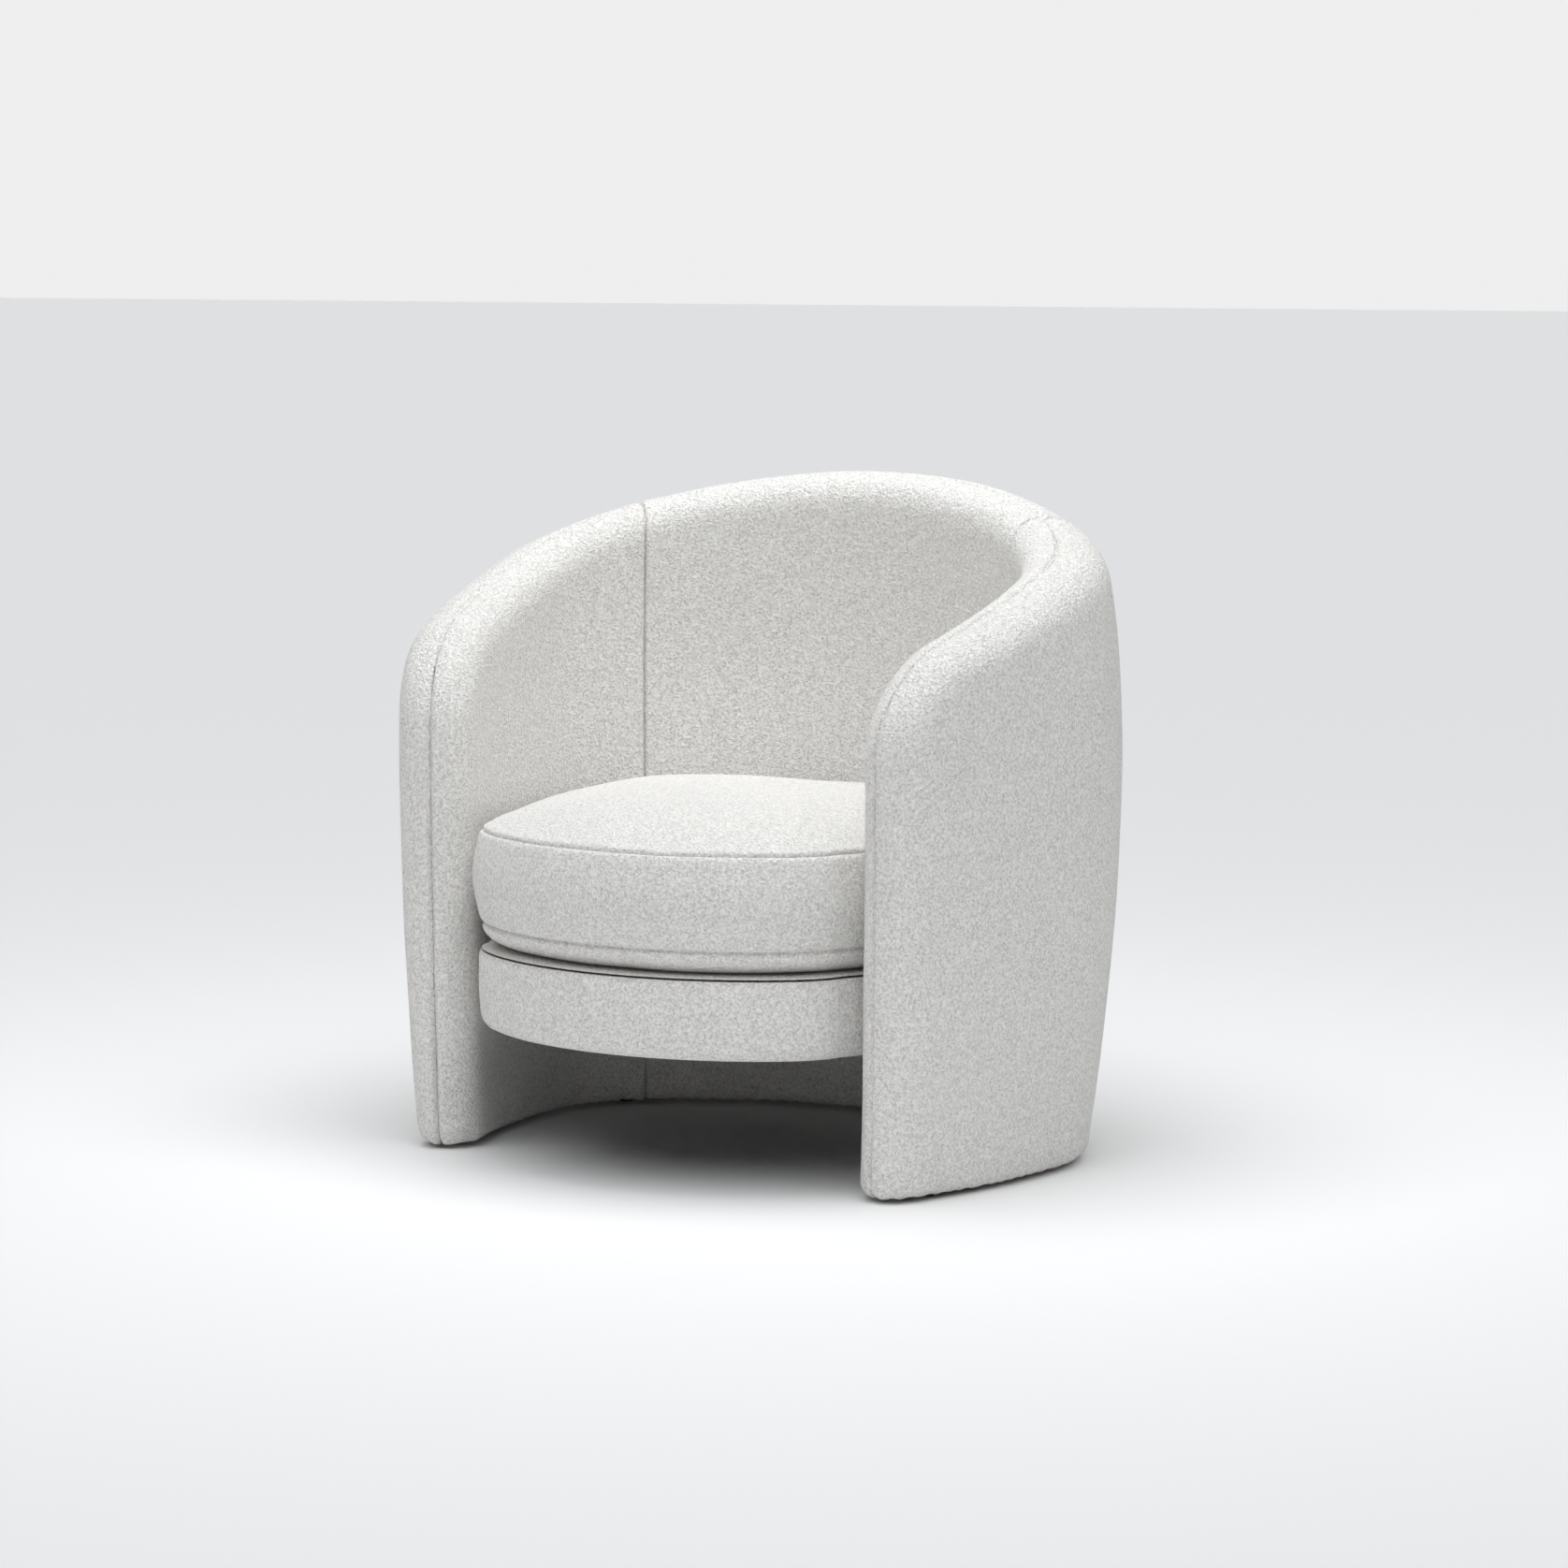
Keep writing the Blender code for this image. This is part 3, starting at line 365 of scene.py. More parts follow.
def round_corner(reach, depth, inset):
    """Moves points near an arm's front top corner so that the outline there is an arc."""
    radius = CORNER - inset
    p = np.maximum(CORNER - reach, 0.0) / radius
    q = np.maximum(CORNER - depth, 0.0) / radius
    near = (p > 0) & (q > 0)
    across = p * np.sqrt(1.0 - q * q / 2.0)
    up = q * np.sqrt(1.0 - p * p / 2.0)
    distance = np.where(near, inset + radius * (1.0 - np.hypot(across, up)), np.minimum(reach, depth))
    reach = np.where(near, CORNER - radius * across, reach)
    depth = np.where(near, CORNER - radius * up, depth)
    return reach, depth, distance


def edge_fullness(distance, inset):
    """Share of the wall's half thickness at a distance from its rounded edge."""
    run = np.clip((distance - inset) / (EDGE - inset), 0.0, 1.0)
    return (1.0 - (1.0 - run) ** NOSE_POWER) ** (1 / NOSE_POWER)


NOSE_ANGLES = (0.0, 1.2, 2.5, 4.0, 6.0, 8.5, 11.5, 15.0, 20.0, 26.0, 33.0, 41.0, 50.0, 60.0, 70.0, 80.0)
FOOT_ANGLES = (90.0, 78.0, 66.0, 54.0, 42.0, 30.0, 18.0, 8.0)


def seamed_reaches():
    """Reaches of the columns from the arm's rounded front to the middle of the back, closer at the seam."""
    plain = np.arange(EDGE, HALF_LENGTH, GRID)
    plain = np.append(plain, HALF_LENGTH)
    plain = plain[np.abs(plain - PANEL_SEAM) > SEAM_ROOM]
    close = np.array(SEAM_COLUMNS)
    return np.sort(np.concatenate([plain, PANEL_SEAM - close, PANEL_SEAM + close]))


REACHES = seamed_reaches()
ALONG = (
    [(-1, "nose", a) for a in NOSE_ANGLES]
    + [(-1, "body", r) for r in REACHES]
    + [(1, "body", r) for r in REACHES[-2::-1]]
    + [(1, "nose", a) for a in reversed(NOSE_ANGLES)]
)
UP = (
    [("flap", 0.0), ("flap", 0.5)]
    + [("foot", a) for a in FOOT_ANGLES]
    + [("body", s) for s in np.linspace(0.0, 1.0, WALL_ROWS)]
    + [("rim", a) for a in reversed(NOSE_ANGLES)]
)


def skin(columns, row, face, inset=0.0, back=False):
    """One row of points of a wall pad: its cloth, or its back where back is set."""
    side = np.array([c[0] for c in columns])
    is_nose = np.array([c[1] == "nose" for c in columns])
    value = np.array([c[2] for c in columns])
    kind, at = row
    height = None
    foot_inset = inset
    if kind == "flap":
        foot_inset = FOOT_RADIUS
        height = FOOT
    elif kind == "foot":
        foot_inset = inset + FOOT_RADIUS * (1.0 - math.cos(math.radians(at)))
        height = FOOT + FOOT_RADIUS * (1.0 - math.sin(math.radians(at)))
    reach = np.where(is_nose, nose_depth(np.where(is_nose, value, 0.0), foot_inset), value)
    rim = rim_height(reach)
    low = FOOT + FOOT_RADIUS
    if kind == "body":
        height = low + at * (rim - EDGE - low)
    depth = nose_depth(at, inset) if kind == "rim" else rim - height
    depth = np.broadcast_to(depth, reach.shape)
    reach, depth, distance = round_corner(reach, depth, foot_inset if kind in ("flap", "foot") else inset)
    height = rim_height(reach) - depth if kind in ("body", "rim") else np.full(reach.shape, height)
    half = outer_half(reach, height) if face > 0 else np.full(reach.shape, EDGE)
    full = edge_fullness(distance, foot_inset)
    thick = (half - foot_inset) * full
    if kind == "flap":
        thick = (FLAP_END + at * (half - FOOT_RADIUS - FLAP_END)) * full
    if back:
        flat = (~is_nose) & (kind != "rim")
        thick = np.where(flat, FLAP_END if kind == "flap" else CORE, GAP / 2)
        height = height + COVER * np.clip(1.0 - (height - FOOT) / 0.5, 0.0, 1.0)
    return wall_points(side, reach, height, face * np.maximum(thick, GAP / 2))


def upright_seam(columns):
    """How far the cloth stands out beside the panels' upright seams."""
    away = np.array([abs(c[2] - PANEL_SEAM) if c[1] == "body" else 1.0 for c in columns])
    return seam_profile(away)[None, :]


def edge_seam(columns):
    """The same along the seam that runs round the wall's edge, front and top."""
    across = np.array([math.radians(c[2]) * EDGE if c[1] == "nose" else 1.0 for c in columns])
    up = np.array([math.radians(r[1]) * EDGE if r[0] == "rim" else 1.0 for r in UP])
    return seam_profile(np.minimum(across[None, :], up[:, None]))


def puckers(points, columns):
    """Small gathers where the cloth turns under the wall."""
    reach = np.array([c[0] * (c[2] if c[1] == "body" else NOSE_RUN * c[2] / 90.0) for c in columns])
    fade = np.exp(-(((points[:, :, 2] - FOOT) / PUCKER_HEIGHT) ** 2))
    wave = soft_noise(points, PUCKER_PITCH * 2.0, seed=7.3)
    beat = np.sin(reach[None, :] / PUCKER_PITCH * math.tau + PUCKER_SWAY * wave)
    return PUCKER * fade * beat


def wall_pad(name, face, first, last, material):
    """One padded panel of the wall between two of its columns."""
    front = np.stack([skin(ALONG, row, face) for row in UP])
    back = np.stack([skin(ALONG, row, face, PAD_BACK, back=True) for row in UP])
    normals = grid_normals(front) * -face
    lift = edge_seam(ALONG) + upright_seam(ALONG) * np.ones((len(UP), 1))
    lift = lift + SOFT_SWELL * soft_noise(front, SOFT_SIZE, seed=3.1 * face)
    lift = lift + puckers(front, ALONG)
    front = front + normals * lift[:, :, None]
    front[:, :, 2] = np.maximum(front[:, :, 2], FOOT - 2 * GAP)
    piece = pad_mesh(name, front[:, first:last], back[:, first:last], face < 0, material)
    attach(piece, "root")
    return piece


def seam_columns():
    """Numbers of the columns just beside the panels' upright seams."""
    away = [abs(c[2] - PANEL_SEAM) if c[1] == "body" else 1.0 for c in ALONG]
    return [n for n, distance in enumerate(away) if abs(distance - GAP / 2) < 1e-9]


def wall(material):
    """The wall's six pads: left, back and right, outside and inside."""
    seams = seam_columns()
    left, right = seams[1], seams[2] + 1
    for face, where in ((1, "outer"), (-1, "inner")):
        spans = {"left": (0, left), "back": (left, right), "right": (right, len(ALONG))}
        for part, (first, last) in spans.items():
            piece = wall_pad(f"{where}_padding_{part}", face, first, last, material)
            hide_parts(f"{where}_cover_{part}", f"{where}_foam")


# ---------------------------------------------------------------- the seat
def wall_radii(angles, level, clearance):
    """Distance from the seat's centre to the wall's inner side, at each angle."""
    reach = np.linspace(0.0, HALF_LENGTH, LINE_STEPS)
    line = wall_points(1.0, reach, np.full(reach.shape, level), -EDGE)[:, :2] - [0.0, SEAT_Y]
    ahead = line[0] + (line[0] - line[AHEAD_STEPS]) * AHEAD_TIMES
    line = np.concatenate([[ahead], line])
    turn = np.arctan2(line[:, 1], line[:, 0])
    size = np.hypot(line[:, 0], line[:, 1])
    mirrored = np.arctan2(np.sin(angles), np.abs(np.cos(angles)))
    return np.interp(mirrored, turn, size, left=FRONT_RADIUS * 2) - clearance


def seat_angles():
    """Directions from the seat's centre, from the back round to the left."""
    return math.pi / 2 + np.arange(SEAT_ANGLES) * math.tau / SEAT_ANGLES


def seat_radii(level):
    """The seat's outline: its round front, blended into the wall with a clearance."""
    beside = wall_radii(seat_angles(), level, SEAT_CLEARANCE)
    power = CORNER_ROUNDING
    return (beside**-power + FRONT_RADIUS**-power) ** (-1 / power)


def zip_circle():
    """The arc of the cushion's back that the zip runs round: its radius and its centre's y."""
    spread = math.radians(ZIP_SPREAD)
    back_y = SEAT_Y + wall_radii(np.array([math.pi / 2]), CUSHION_BOTTOM, ZIP_SPACE)[0]
    clearance = (ZIP_SPACE + SEAT_CLEARANCE) / 2
    beside = wall_radii(np.array([math.pi / 2 - spread]), CUSHION_BOTTOM, clearance)[0]
    x = beside * math.sin(spread)
    fall = back_y - (SEAT_Y + beside * math.cos(spread))
    size = (x * x + fall * fall) / (2 * fall)
    return size, back_y - size


def zip_share(angles):
    """1 where the cushion's outline is the zip's arc, falling to 0 where it is the seat's."""
    spread = math.radians(ZIP_SPREAD)
    fade = math.radians(ZIP_FADE)
    away = np.abs(np.arctan2(np.cos(angles), np.sin(angles)))
    share = np.clip((spread + fade - away) / fade, 0.0, 1.0)
    return share * share * (3.0 - 2.0 * share)


def cushion_radii():
    """The seat's outline, with the flatter back that the zip runs round."""
    angles = seat_angles()
    radii = seat_radii(CUSHION_BOTTOM)
    size, centre = zip_circle()
    centre = centre - SEAT_Y
    arc = centre * np.sin(angles) + np.sqrt(size * size - (centre * np.cos(angles)) ** 2)
    share = zip_share(angles)
    return np.minimum(radii, share * arc + (1.0 - share) * radii)


def seat_rings(radii, section):
    """Rings of points round the seat from a section of (inset, height), bottom up."""
    angles = seat_angles()
    rings = []
    for inset, height in section:
        radius = np.maximum(radii - inset, LEAST_RADIUS)
        x = radius * np.cos(angles)
        y = SEAT_Y + radius * np.sin(angles)
        rings.append(np.stack([x, y, np.full(x.shape, height)], axis=-1))
    return np.stack(rings)


def gathers(count, sway, sway_count):
    """Gathers round the seat, from -1 to 1, unevenly spaced."""
    angle = np.arange(SEAT_ANGLES) / SEAT_ANGLES * math.tau
    return np.sin(angle * count + sway * np.sin(angle * sway_count))[None, :]


def arc_section(centre, radius, start, end, steps):
    """Points of an arc in a section, as (inset, height), with angles in degrees from outwards to up."""
    points = []
    for step in range(steps + 1):
        turn = math.radians(start + (end - start) * step / steps)
        points.append((centre[0] - radius * math.cos(turn), centre[1] + radius * math.sin(turn)))
    return points


def base_section():
    """The band round the base: turned-under flap, rounded lower edge, side and top seam."""
    lower = arc_section((BASE_RADIUS, BASE_BOTTOM + BASE_RADIUS), BASE_RADIUS, -90.0, 0.0, 10)
    section = [(BASE_FLAP, BASE_BOTTOM), ((BASE_FLAP + BASE_RADIUS) / 2, BASE_BOTTOM)] + lower
    side_low = BASE_BOTTOM + BASE_RADIUS
    rise = BASE_TOP - side_low
    for step in range(1, BAND_STEPS):
        share = step / BAND_STEPS
        bulge = BAND_BULGE * math.sin(math.pi * share)
        section.append((-bulge, side_low + rise * share))
    for away in BAND_SEAM_ROWS:
        section.append((0.0, BASE_TOP - away))
    section.append((BAND_LIP, BASE_TOP - BAND_LIP_DROP))
    section += [(BAND_BACK, BASE_TOP - BAND_INSIDE_DROP), (BAND_BACK, BASE_BOTTOM + BASE_RADIUS)]
    section.append((BASE_FLAP - BAND_FLAP_STEP, BASE_BOTTOM + COVER))
    return section


def base_band(material):
    """The padded band round the seat's base."""
    radii = seat_radii(BASE_BOTTOM)
    rings = seat_rings(radii, base_section())
    normals = grid_normals(rings, wrap=True)
    seam = seam_profile(np.abs(rings[:, :, 2] - (BASE_TOP - BAND_SEAM_DROP)))
    outside = np.array([inset < BAND_OUTSIDE for inset, _ in base_section()])[:, None]
    lift = seam + SOFT_SWELL * 0.8 * soft_noise(rings, BAND_SOFT_SIZE, seed=11.0)
    fade = np.exp(-(((rings[:, :, 2] - BASE_BOTTOM) / BAND_PUCKER_HEIGHT) ** 2))
    lift = lift + PUCKER * 0.6 * fade * gathers(count=90.0, sway=4.0, sway_count=17.0)
    rings = rings + normals * (lift * outside)[:, :, None]
    piece = ring_mesh("seat_base_band", rings, material)
    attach(piece, "root")
    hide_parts("seat_base_cover", "base_foam")


def deck(material):
    """The seat's cloth deck over its pad, crowned a little towards the middle."""
    radii = seat_radii(BASE_BOTTOM)
    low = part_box("deck_pad")[0].z
    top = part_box("deck_cloth")[1].z
    section = [(inset, low) for inset in (*DECK_UNDER, BAND_BACK + 2 * DECK_ROOM)]
    section += [(BAND_BACK + DECK_ROOM, BASE_TOP), (DECK_TUCK, BASE_TOP + GAP)]
    section += [(DECK_NOSE, BASE_TOP + DECK_LIP / 2), (DECK_EDGE, BASE_TOP + DECK_LIP)]
    edge_row = len(section) - 1
    for step in range(1, DECK_STEPS + 1):
        share = step / DECK_STEPS
        inset = DECK_EDGE + (DECK_REACH - DECK_EDGE) * share**DECK_SPACING
        rise = (top - BASE_TOP - DECK_LIP) * min(1.0, inset / DECK_RISE)
        section.append((inset, BASE_TOP + DECK_LIP + rise))
    rings = seat_rings(radii, section)
    dip = DECK_DIP * soft_noise(rings, DECK_DIP_SIZE, seed=5.0)
    rings[edge_row:, :, 2] += np.minimum(dip[edge_row:], 0.0)
    piece = disc_mesh("seat_deck", rings, material)
    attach(piece, "root")
    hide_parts("deck_cloth", "deck_pad")


def dust_cover(material):
    """Thin cloth stapled under the base, which hangs a little between its edges."""
    radii = seat_radii(BASE_BOTTOM)
    low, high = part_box("dust_cover")
    edge = BASE_RADIUS + LOOSE
    insets = [edge + DUST_REACH * share**DUST_SPACING for share in np.linspace(0.0, 1.0, DUST_RINGS)]
    under = [(inset, low.z) for inset in reversed(insets)]
    over = [(inset, high.z) for inset in insets]
    rings = seat_rings(radii, under + over)
    inside = np.array([inset - edge for inset, _ in under + over])
    sag = DUST_SAG * (1.0 - np.exp(-inside / DUST_SAG_WIDTH))[:, None]
    ripple = DUST_RIPPLE * soft_noise(rings * [1.0, 1.0, 0.0], DUST_RIPPLE_SIZE, seed=2.0)
    ripple = ripple * (1.0 - np.exp(-inside / DUST_RIPPLE_WIDTH))[:, None]
    rings[:, :, 2] += ripple - sag
    piece = disc_mesh("dust_cloth", rings, material)
    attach(piece, "root")
    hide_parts("dust_cover")


# ---------------------------------------------------------------- the cushion
def cushion_section():
    """The cushion's section before it swells, and the numbers of its two seam rows."""
    section = []
    for inset in UNDER_INSETS:
        section.append((inset, CUSHION_BOTTOM))
    drop = CUSHION_SEAM_LOW - CUSHION_BOTTOM
    for share in ROUND_SHARES:
        turn = math.pi / 2 * share
        inset = CUSHION_ROUND * (1.0 - math.sin(turn)) + CUSHION_SLACK
        section.append((inset, CUSHION_BOTTOM + drop * (1.0 - math.cos(turn))))
    low_seam = len(section) - 1
    even = np.linspace(BOXING_ROW_END, 1.0 - BOXING_ROW_END, BOXING_ROWS)
    for share in (*SEAM_SHARES, *even, *(1.0 - share for share in reversed(SEAM_SHARES)), 1.0):
        height = CUSHION_SEAM_LOW * (1 - share) + CUSHION_SEAM_HIGH * share
        section.append((CUSHION_SLACK * (1.0 - math.sin(math.pi * share)), height))
    high_seam = len(section) - 1
    rise = CUSHION_CROWN - CROWN_LEFT - CUSHION_SEAM_HIGH
    spaced = TOP_START + TOP_SPAN * np.linspace(0.0, 1.0, TOP_ROWS) ** TOP_SPACING
    for away in (*TOP_CLOSE, *spaced):
        crowned = 1.0 - (1.0 - min(away / CROWN_REACH, 1.0)) ** CROWN_POWER
        section.append((CUSHION_SLACK + away, CUSHION_SEAM_HIGH + rise * crowned))
    return section, low_seam, high_seam


def keep_clear(rings, radii, bulge):
    """Holds the cushion off the wall, flat along its zip, and bulges its free sides."""
    angles = seat_angles()
    low_room = wall_radii(angles, CUSHION_BOTTOM, WALL_ROOM)
    room = np.minimum(low_room, wall_radii(angles, CUSHION_CROWN, WALL_ROOM))
    limit = radii + np.maximum(room - radii, 0.0) * (1.0 - zip_share(angles))
    away = rings[:, :, :2] - [0.0, SEAT_Y]
    size = np.linalg.norm(away, axis=2)
    share = np.clip((rings[:, :, 2] - CUSHION_SEAM_LOW) / (CUSHION_SEAM_HIGH - CUSHION_SEAM_LOW), 0.0, 1.0)
    wanted = np.minimum(size + bulge * np.sin(math.pi * share), np.maximum(limit, LEAST_LIMIT))
    rings[:, :, :2] = [0.0, SEAT_Y] + away * (wanted / np.maximum(size, 1e-6))[:, :, None]


def zip_recess(rings):
    """Sets the cloth in along the zip, so that its tape shows."""
    size, centre = zip_circle()
    level = (CUSHION_SEAM_LOW + CUSHION_SEAM_HIGH) / 2
    along = np.abs(np.arctan2(rings[:, :, 0], rings[:, :, 1] - centre)) * size
    up = np.abs(rings[:, :, 2] - level)
    side = np.clip((ZIP_LENGTH / 2 + RECESS_ALONG - along) / RECESS_ALONG_FADE, 0.0, 1.0)
    side = side * np.clip((ZIP_HEIGHT / 2 + RECESS_UP - up) / RECESS_UP_FADE, 0.0, 1.0)
    behind = rings[:, :, 1] > centre + size * RECESS_BEHIND
    rings[:, :, 1] -= ZIP_RECESS * side * behind


def swell(piece, held):
    """Cloth simulation: pressure inside swells the panels between the held seam rows."""
    scene = bpy.context.scene
    before = np.empty(len(piece.data.vertices) * 3)
    piece.data.vertices.foreach_get("co", before)
    before = before.reshape(-1, 3)
    group = piece.vertex_groups.new(name="seams")
    group.add(held, 1.0, "REPLACE")
    cloth = piece.modifiers.new("swell", "CLOTH")
    settings = cloth.settings
    settings.quality = 6
    settings.mass = 0.3
    settings.tension_stiffness = 18.0
    settings.compression_stiffness = 18.0
    settings.shear_stiffness = 6.0
    settings.bending_stiffness = 0.8
    settings.use_pressure = True
    settings.uniform_pressure_force = PRESSURE
    settings.effector_weights.gravity = 0.0
    settings.vertex_group_mass = "seams"
    cloth.collision_settings.use_collision = False
    scene.frame_start = 1
    scene.frame_end = SWELL_FRAMES
    cloth.point_cache.frame_start = 1
    cloth.point_cache.frame_end = SWELL_FRAMES
    for number in range(1, SWELL_FRAMES + 1):
        scene.frame_set(number)
    evaluated = piece.evaluated_get(bpy.context.evaluated_depsgraph_get())
    after = np.empty(len(piece.data.vertices) * 3)
    evaluated.data.vertices.foreach_get("co", after)
    move = after.reshape(-1, 3) - before
    far = np.linalg.norm(move, axis=1, keepdims=True)
    move = move * (SWELL_CAP * np.tanh(far / SWELL_CAP) / np.maximum(far, 1e-9))
    piece.modifiers.remove(cloth)
    scene.frame_set(1)
    return before + move


def cushion(material):
    """The loose cushion: swelled cloth, then its seams, gathers and zip recess."""
    section, low_seam, high_seam = cushion_section()
    radii = cushion_radii()
    rings = seat_rings(radii, section)
    piece = disc_mesh("cushion_body", rings, material)
    rows, columns, _ = rings.shape
    held = [row * columns + column for row in (low_seam, high_seam) for column in range(columns)]
    points = swell(piece, held)
    rings = points[: rows * columns].reshape(rows, columns, 3)
    ends = points[rows * columns :]
    rings[:, :, 2] = np.maximum(rings[:, :, 2], CUSHION_BOTTOM)
    ends[:, 2] = np.maximum(ends[:, 2], CUSHION_BOTTOM)
    keep_clear(rings, radii, BOXING_BULGE)
    normals = grid_normals(rings, wrap=True)
    steps = np.linalg.norm(np.diff(rings, axis=0), axis=2).mean(axis=1)
    along = np.concatenate([[0.0], np.cumsum(steps)])
    away = np.minimum(np.abs(along - along[low_seam]), np.abs(along - along[high_seam]))
    lift = seam_profile(away)[:, None] + SOFT_SWELL * 1.3 * soft_noise(rings, CUSHION_SOFT_SIZE, seed=23.0)
    top_edge = np.exp(-(((along - along[high_seam] - TOP_LIP_AT) / TOP_LIP_WIDTH) ** 2))[:, None]
    lift = lift + TOP_LIP * top_edge
    fade = np.exp(-((away / CUSHION_PUCKER_WIDTH) ** 2))[:, None]
    lift = lift + PUCKER * 0.5 * fade * gathers(count=75.0, sway=3.0, sway_count=11.0)
    lift[rings[:, :, 2] <= CUSHION_BOTTOM + 1e-6] = 0.0
    rings = rings + normals * lift[:, :, None]
    keep_clear(rings, radii, 0.0)
    zip_recess(rings)
    points = np.concatenate([rings.reshape(-1, 3), ends])
    piece.data.vertices.foreach_set("co", points.astype(np.float32).ravel())
    piece.data.update()
    fine = piece.modifiers.new("fine", "SUBSURF")
    fine.levels = 1
    fine.render_levels = 1
    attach(piece, "cushion")
    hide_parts("cushion_cover", "cushion_foam")


# ---------------------------------------------------------------- materials
def new_material(name, roughness, metallic=0.0):
    """A material and its shader."""
    material = bpy.data.materials.new(name)
    material.use_nodes = True
    shader = material.node_tree.nodes["Principled BSDF"]
    shader.inputs["Roughness"].default_value = roughness
    shader.inputs["Metallic"].default_value = metallic
    return material, shader


def node(material, kind, **inputs):
    """A new shader node with its inputs set."""
    made = material.node_tree.nodes.new(kind)
    for name, value in inputs.items():
        made.inputs[name].default_value = value
    return made


def link(material, source, target):
    """Joins a node's output to another's input."""
    material.node_tree.links.new(source, target)


def coordinates(material, scale=(1.0, 1.0, 1.0)):
    """Places on the object in metres, times a scale."""
    place = material.node_tree.nodes.new("ShaderNodeTexCoord")
    mapping = material.node_tree.nodes.new("ShaderNodeMapping")
    mapping.inputs["Scale"].default_value = scale
    link(material, place.outputs["Object"], mapping.inputs["Vector"])
    return mapping.outputs["Vector"]


def ramp(material, source, low, high, start=0.0, end=1.0):
    """Colours from low to high as the source goes from start to end."""
    made = material.node_tree.nodes.new("ShaderNodeValToRGB")
    made.color_ramp.elements[0].position = start
    made.color_ramp.elements[1].position = end
    made.color_ramp.elements[0].color = (*low, 1.0)
    made.color_ramp.elements[1].color = (*high, 1.0)
    link(material, source, made.inputs["Fac"])
    return made.outputs["Color"]


def paint(material, shader, source, dark, light, start, end):
    """Colours the shader from dark to light as the source goes from start to end."""
    link(material, ramp(material, source, dark, light, start, end), shader.inputs["Base Color"])


def bump(material, shader, source, strength, distance):
    """Raises the surface by a distance where the source is 1."""
    made = node(material, "ShaderNodeBump", Strength=strength, Distance=distance)
    link(material, source, made.inputs["Height"])
    link(material, made.outputs["Normal"], shader.inputs["Normal"])


def add_math(material, operation, first, second):
    """Output of a Math node on two sockets or numbers."""
    made = material.node_tree.nodes.new("ShaderNodeMath")
    made.operation = operation
    for socket, value in zip(made.inputs, (first, second)):
        if isinstance(value, float):
            socket.default_value = value
        else:
            link(material, value, socket)
    return made.outputs["Value"]


def boucle(name, light, dark, loop=0.0022):
    """Looped wool cloth: small pebbles of curled yarn, with painted shade darkening the hollows between
    them.
    """
    material, shader = new_material(name, 0.95)
    place = coordinates(material)
    curl = {"Detail": 1.5, "Roughness": 0.55, "Distortion": 0.6}
    pebbles = node(material, "ShaderNodeTexNoise", Scale=0.75 / loop, **curl)
    link(material, place, pebbles.inputs["Vector"])
    loops = node(material, "ShaderNodeTexVoronoi", Scale=1.0 / loop, Randomness=0.9)
    link(material, place, loops.inputs["Vector"])
    fibres = node(material, "ShaderNodeTexNoise", Scale=3.0 / loop, Detail=2.0)
    link(material, place, fibres.inputs["Vector"])
    round_tops = add_math(material, "MULTIPLY", loops.outputs["Distance"], -0.22)
    high = add_math(material, "ADD", pebbles.outputs["Fac"], round_tops)
    fine = add_math(material, "MULTIPLY", fibres.outputs["Fac"], 0.12)
    high = add_math(material, "ADD", high, fine)
    bump(material, shader, high, strength=1.0, distance=loop * 1.6)
    # Painted shade: the colour follows the loops' height, as the bump does, so the hollows between loops
    # are painted darker.
    paint(material, shader, high, dark, light, start=0.24, end=0.59)
    shader.inputs["Sheen Weight"].default_value = 0.25
    shader.inputs["Sheen Roughness"].default_value = 0.5
    shader.inputs["Specular IOR Level"].default_value = 0.2
    return material


def woven(name, light, dark, thread):
    """Plain woven cloth: threads over and under each other."""
    material, shader = new_material(name, 0.9)
    place = coordinates(material)
    waves = []
    for direction in ("X", "Y"):
        wave = node(material, "ShaderNodeTexWave", Scale=0.32 / thread, Distortion=0.6, Detail=1.0)
        wave.bands_direction = direction
        link(material, place, wave.inputs["Vector"])
        waves.append(wave.outputs["Fac"])
    weave = add_math(material, "MULTIPLY", waves[0], waves[1])
    blotch = node(material, "ShaderNodeTexNoise", Scale=60.0, Detail=3.0)
    link(material, place, blotch.inputs["Vector"])
    high = add_math(material, "ADD", weave, blotch.outputs["Fac"])
    bump(material, shader, weave, strength=0.5, distance=thread * 0.4)
    paint(material, shader, high, dark, light, start=0.3, end=1.4)
    shader.inputs["Sheen Weight"].default_value = 0.15
    return material


def grained(name, light, dark, stretch, roughness):
    """Wood or board: streaks along one direction and fine pores."""
    material, shader = new_material(name, roughness)
    place = coordinates(material, stretch)
    streaks = node(material, "ShaderNodeTexNoise", Scale=14.0, Detail=6.0, Distortion=0.8)
    link(material, place, streaks.inputs["Vector"])
    paint(material, shader, streaks.outputs["Fac"], dark, light, start=0.3, end=0.7)
    bump(material, shader, streaks.outputs["Fac"], strength=0.25, distance=0.0006)
    return material


def cellular(name, light, dark):
    """Foam: fine open cells."""
    material, shader = new_material(name, 0.95)
    cells = node(material, "ShaderNodeTexVoronoi", Scale=900.0)
    link(material, coordinates(material), cells.inputs["Vector"])
    paint(material, shader, cells.outputs["Distance"], dark, light, start=0.0, end=0.6)
    bump(material, shader, cells.outputs["Distance"], strength=0.6, distance=0.0006)
    return material


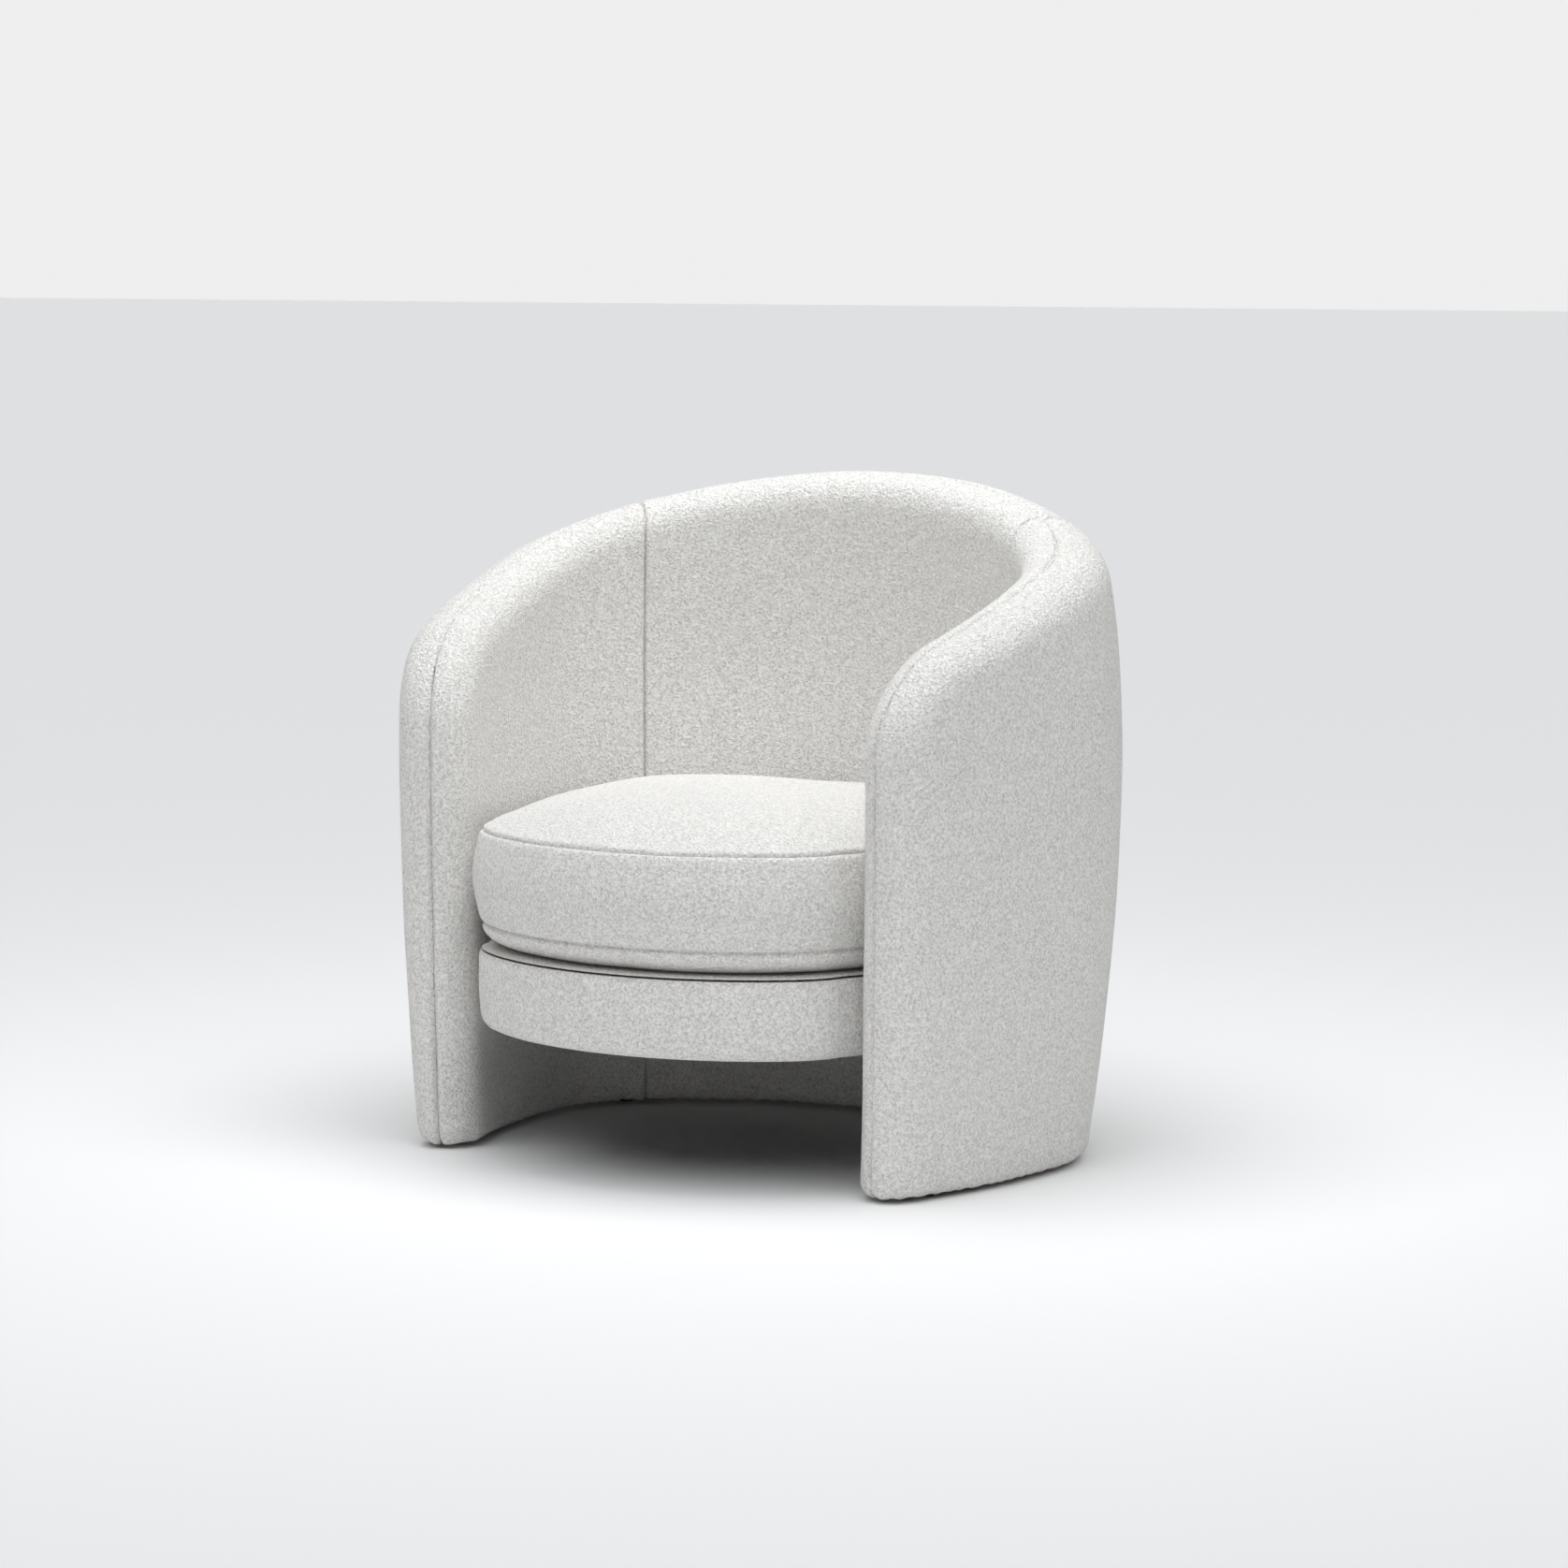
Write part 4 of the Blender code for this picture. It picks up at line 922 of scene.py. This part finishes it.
def hard(name, light, dark, roughness, metallic, scale):
    """Metal or moulded plastic with fine marks in its colour and gloss."""
    material, shader = new_material(name, roughness, metallic)
    marks = node(material, "ShaderNodeTexNoise", Scale=scale, Detail=5.0)
    link(material, coordinates(material), marks.inputs["Vector"])
    paint(material, shader, marks.outputs["Fac"], dark, light, start=0.35, end=0.65)
    rough = add_math(material, "MULTIPLY_ADD", marks.outputs["Fac"], 0.3)
    rough.node.inputs[2].default_value = roughness - 0.15
    link(material, rough, shader.inputs["Roughness"])
    bump(material, shader, marks.outputs["Fac"], strength=0.15, distance=0.0002)
    return material


def dress_frame(cloths):
    """Gives every CAD node that stays its finished material, by the record's slot."""
    slots = {
        "foam": cellular("foam_cells", (0.84, 0.78, 0.55), (0.62, 0.55, 0.34)),
        "fibreboard": grained(
            "fibreboard_fibres", (0.40, 0.28, 0.17), (0.27, 0.18, 0.10), (9.0, 9.0, 9.0), 0.85
        ),
        "plywood": grained("plywood_grain", (0.66, 0.49, 0.30), (0.46, 0.31, 0.17), (2.0, 2.0, 0.4), 0.6),
        "spring_steel": hard("spring_wire", (0.42, 0.43, 0.45), (0.26, 0.27, 0.29), 0.38, 1.0, 260.0),
        "zip_tape": cloths["tape"],
        "zip_metal": hard("zip_nickel", (0.66, 0.65, 0.62), (0.48, 0.47, 0.45), 0.3, 1.0, 420.0),
        "glide_plastic": hard("glide_nylon", (0.045, 0.045, 0.047), (0.028, 0.028, 0.03), 0.5, 0.0, 320.0),
    }
    for part in frame["record"]["subparts"]:
        if part["material_slot"] not in slots:
            continue
        item = frame["nodes"][part["node"]]
        item.data.materials.clear()
        item.data.materials.append(slots[part["material_slot"]])


# ---------------------------------------------------------------- studio
CAMERA_AT = (3.0041, -4.6391, 1.0324)
CAMERA_AIM = (-0.0051, 0.0424, 0.4099)
CAMERA_LENS = 112.0
CAMERA_SENSOR = 36.0
CAMERA_FAR = 100.0
FLOOR_REACH = 60.0  # middle of the floor to its edges
SKY = 0.10  # brightness overhead
HORIZON = 0.86  # and of the horizon, a little lighter than the far floor
HORIZON_END = 0.06  # sines of the elevations between which one turns into the other
SKY_START = 0.13
FLOOR_TONE = 0.95
LIGHT_FROM = (0.16, -0.24, 1.0)
LIGHT_POWER = 2.25
LIGHT_SPREAD = 85.0  # degrees of sky that the soft light fills
LIGHT_COLOUR = (0.97, 0.985, 1.0)
BOX_AT = (0.05, -0.08, 1.8)
BOX_SIZE = 0.9
BOX_POWER = 9.5


def aim(item, target):
    """Turns a camera or a light towards a point."""
    away = Vector(target) - item.location
    item.rotation_euler = away.to_track_quat("-Z", "Y").to_euler()


def add_camera():
    """The camera, in front of the chair and towards +X."""
    data = bpy.data.cameras.new("camera")
    data.lens = CAMERA_LENS
    data.sensor_width = CAMERA_SENSOR
    data.clip_end = CAMERA_FAR
    camera = bpy.data.objects.new("camera", data)
    bpy.context.scene.collection.objects.link(camera)
    camera.location = CAMERA_AT
    aim(camera, CAMERA_AIM)
    bpy.context.scene.camera = camera


def add_soft_light():
    """Light from a wide round patch overhead, the same all over the floor."""
    data = bpy.data.lights.new("overhead", "SUN")
    data.energy = LIGHT_POWER
    data.angle = math.radians(LIGHT_SPREAD)
    data.color = LIGHT_COLOUR
    light = bpy.data.objects.new("overhead", data)
    bpy.context.scene.collection.objects.link(light)
    light.location = LIGHT_FROM
    aim(light, (0.0, 0.0, 0.0))


def add_softbox():
    """A square softbox over the seat, which fills the inside of the barrel."""
    data = bpy.data.lights.new("softbox", "AREA")
    data.size = BOX_SIZE
    data.energy = BOX_POWER
    light = bpy.data.objects.new("softbox", data)
    bpy.context.scene.collection.objects.link(light)
    light.location = BOX_AT
    light.visible_camera = False


def studio():
    """A pale floor before a pale background, under a wide soft light and a softbox."""
    size = FLOOR_REACH
    points = [(-size, -size, 0.0), (size, -size, 0.0), (size, size, 0.0), (-size, size, 0.0)]
    material, shader = new_material("studio_floor", 0.9)
    shader.inputs["Base Color"].default_value = (FLOOR_TONE, FLOOR_TONE, FLOOR_TONE, 1.0)
    shader.inputs["Specular IOR Level"].default_value = 0.0
    floor = add_mesh("floor", points, [(0, 1, 2, 3)], material)
    world = bpy.data.worlds.new("studio_world")
    bpy.context.scene.world = world
    world.use_nodes = True
    direction = world.node_tree.nodes.new("ShaderNodeTexCoord")
    split = world.node_tree.nodes.new("ShaderNodeSeparateXYZ")
    world.node_tree.links.new(direction.outputs["Generated"], split.inputs["Vector"])
    sky = ramp(world, split.outputs["Z"], (HORIZON,) * 3, (SKY,) * 3, HORIZON_END, SKY_START)
    world.node_tree.links.new(sky, world.node_tree.nodes["Background"].inputs["Color"])
    add_soft_light()
    add_softbox()
    bpy.context.scene.view_settings.view_transform = "Standard"


boucle_cloth = boucle("boucle_cloth", (0.99, 0.975, 0.95), (0.66, 0.65, 0.63))
cloths = {
    # Painted shade: the deck's boucle is a darker, warmer copy of the wall's, for the recess under the
    # cushion.
    "deck": boucle("deck_boucle_painted_shade", (0.95, 0.92, 0.89), (0.62, 0.60, 0.57)),
    "cambric": woven("cambric_cloth", (0.035, 0.035, 0.036), (0.012, 0.012, 0.013), 0.0011),
    "tape": woven("zip_tape_cloth", (0.74, 0.72, 0.68), (0.55, 0.53, 0.49), 0.0006),
}
dress_frame(cloths)
wall(boucle_cloth)
base_band(boucle_cloth)
deck(cloths["deck"])
dust_cover(cloths["cambric"])
cushion(boucle_cloth)
studio()
add_camera()
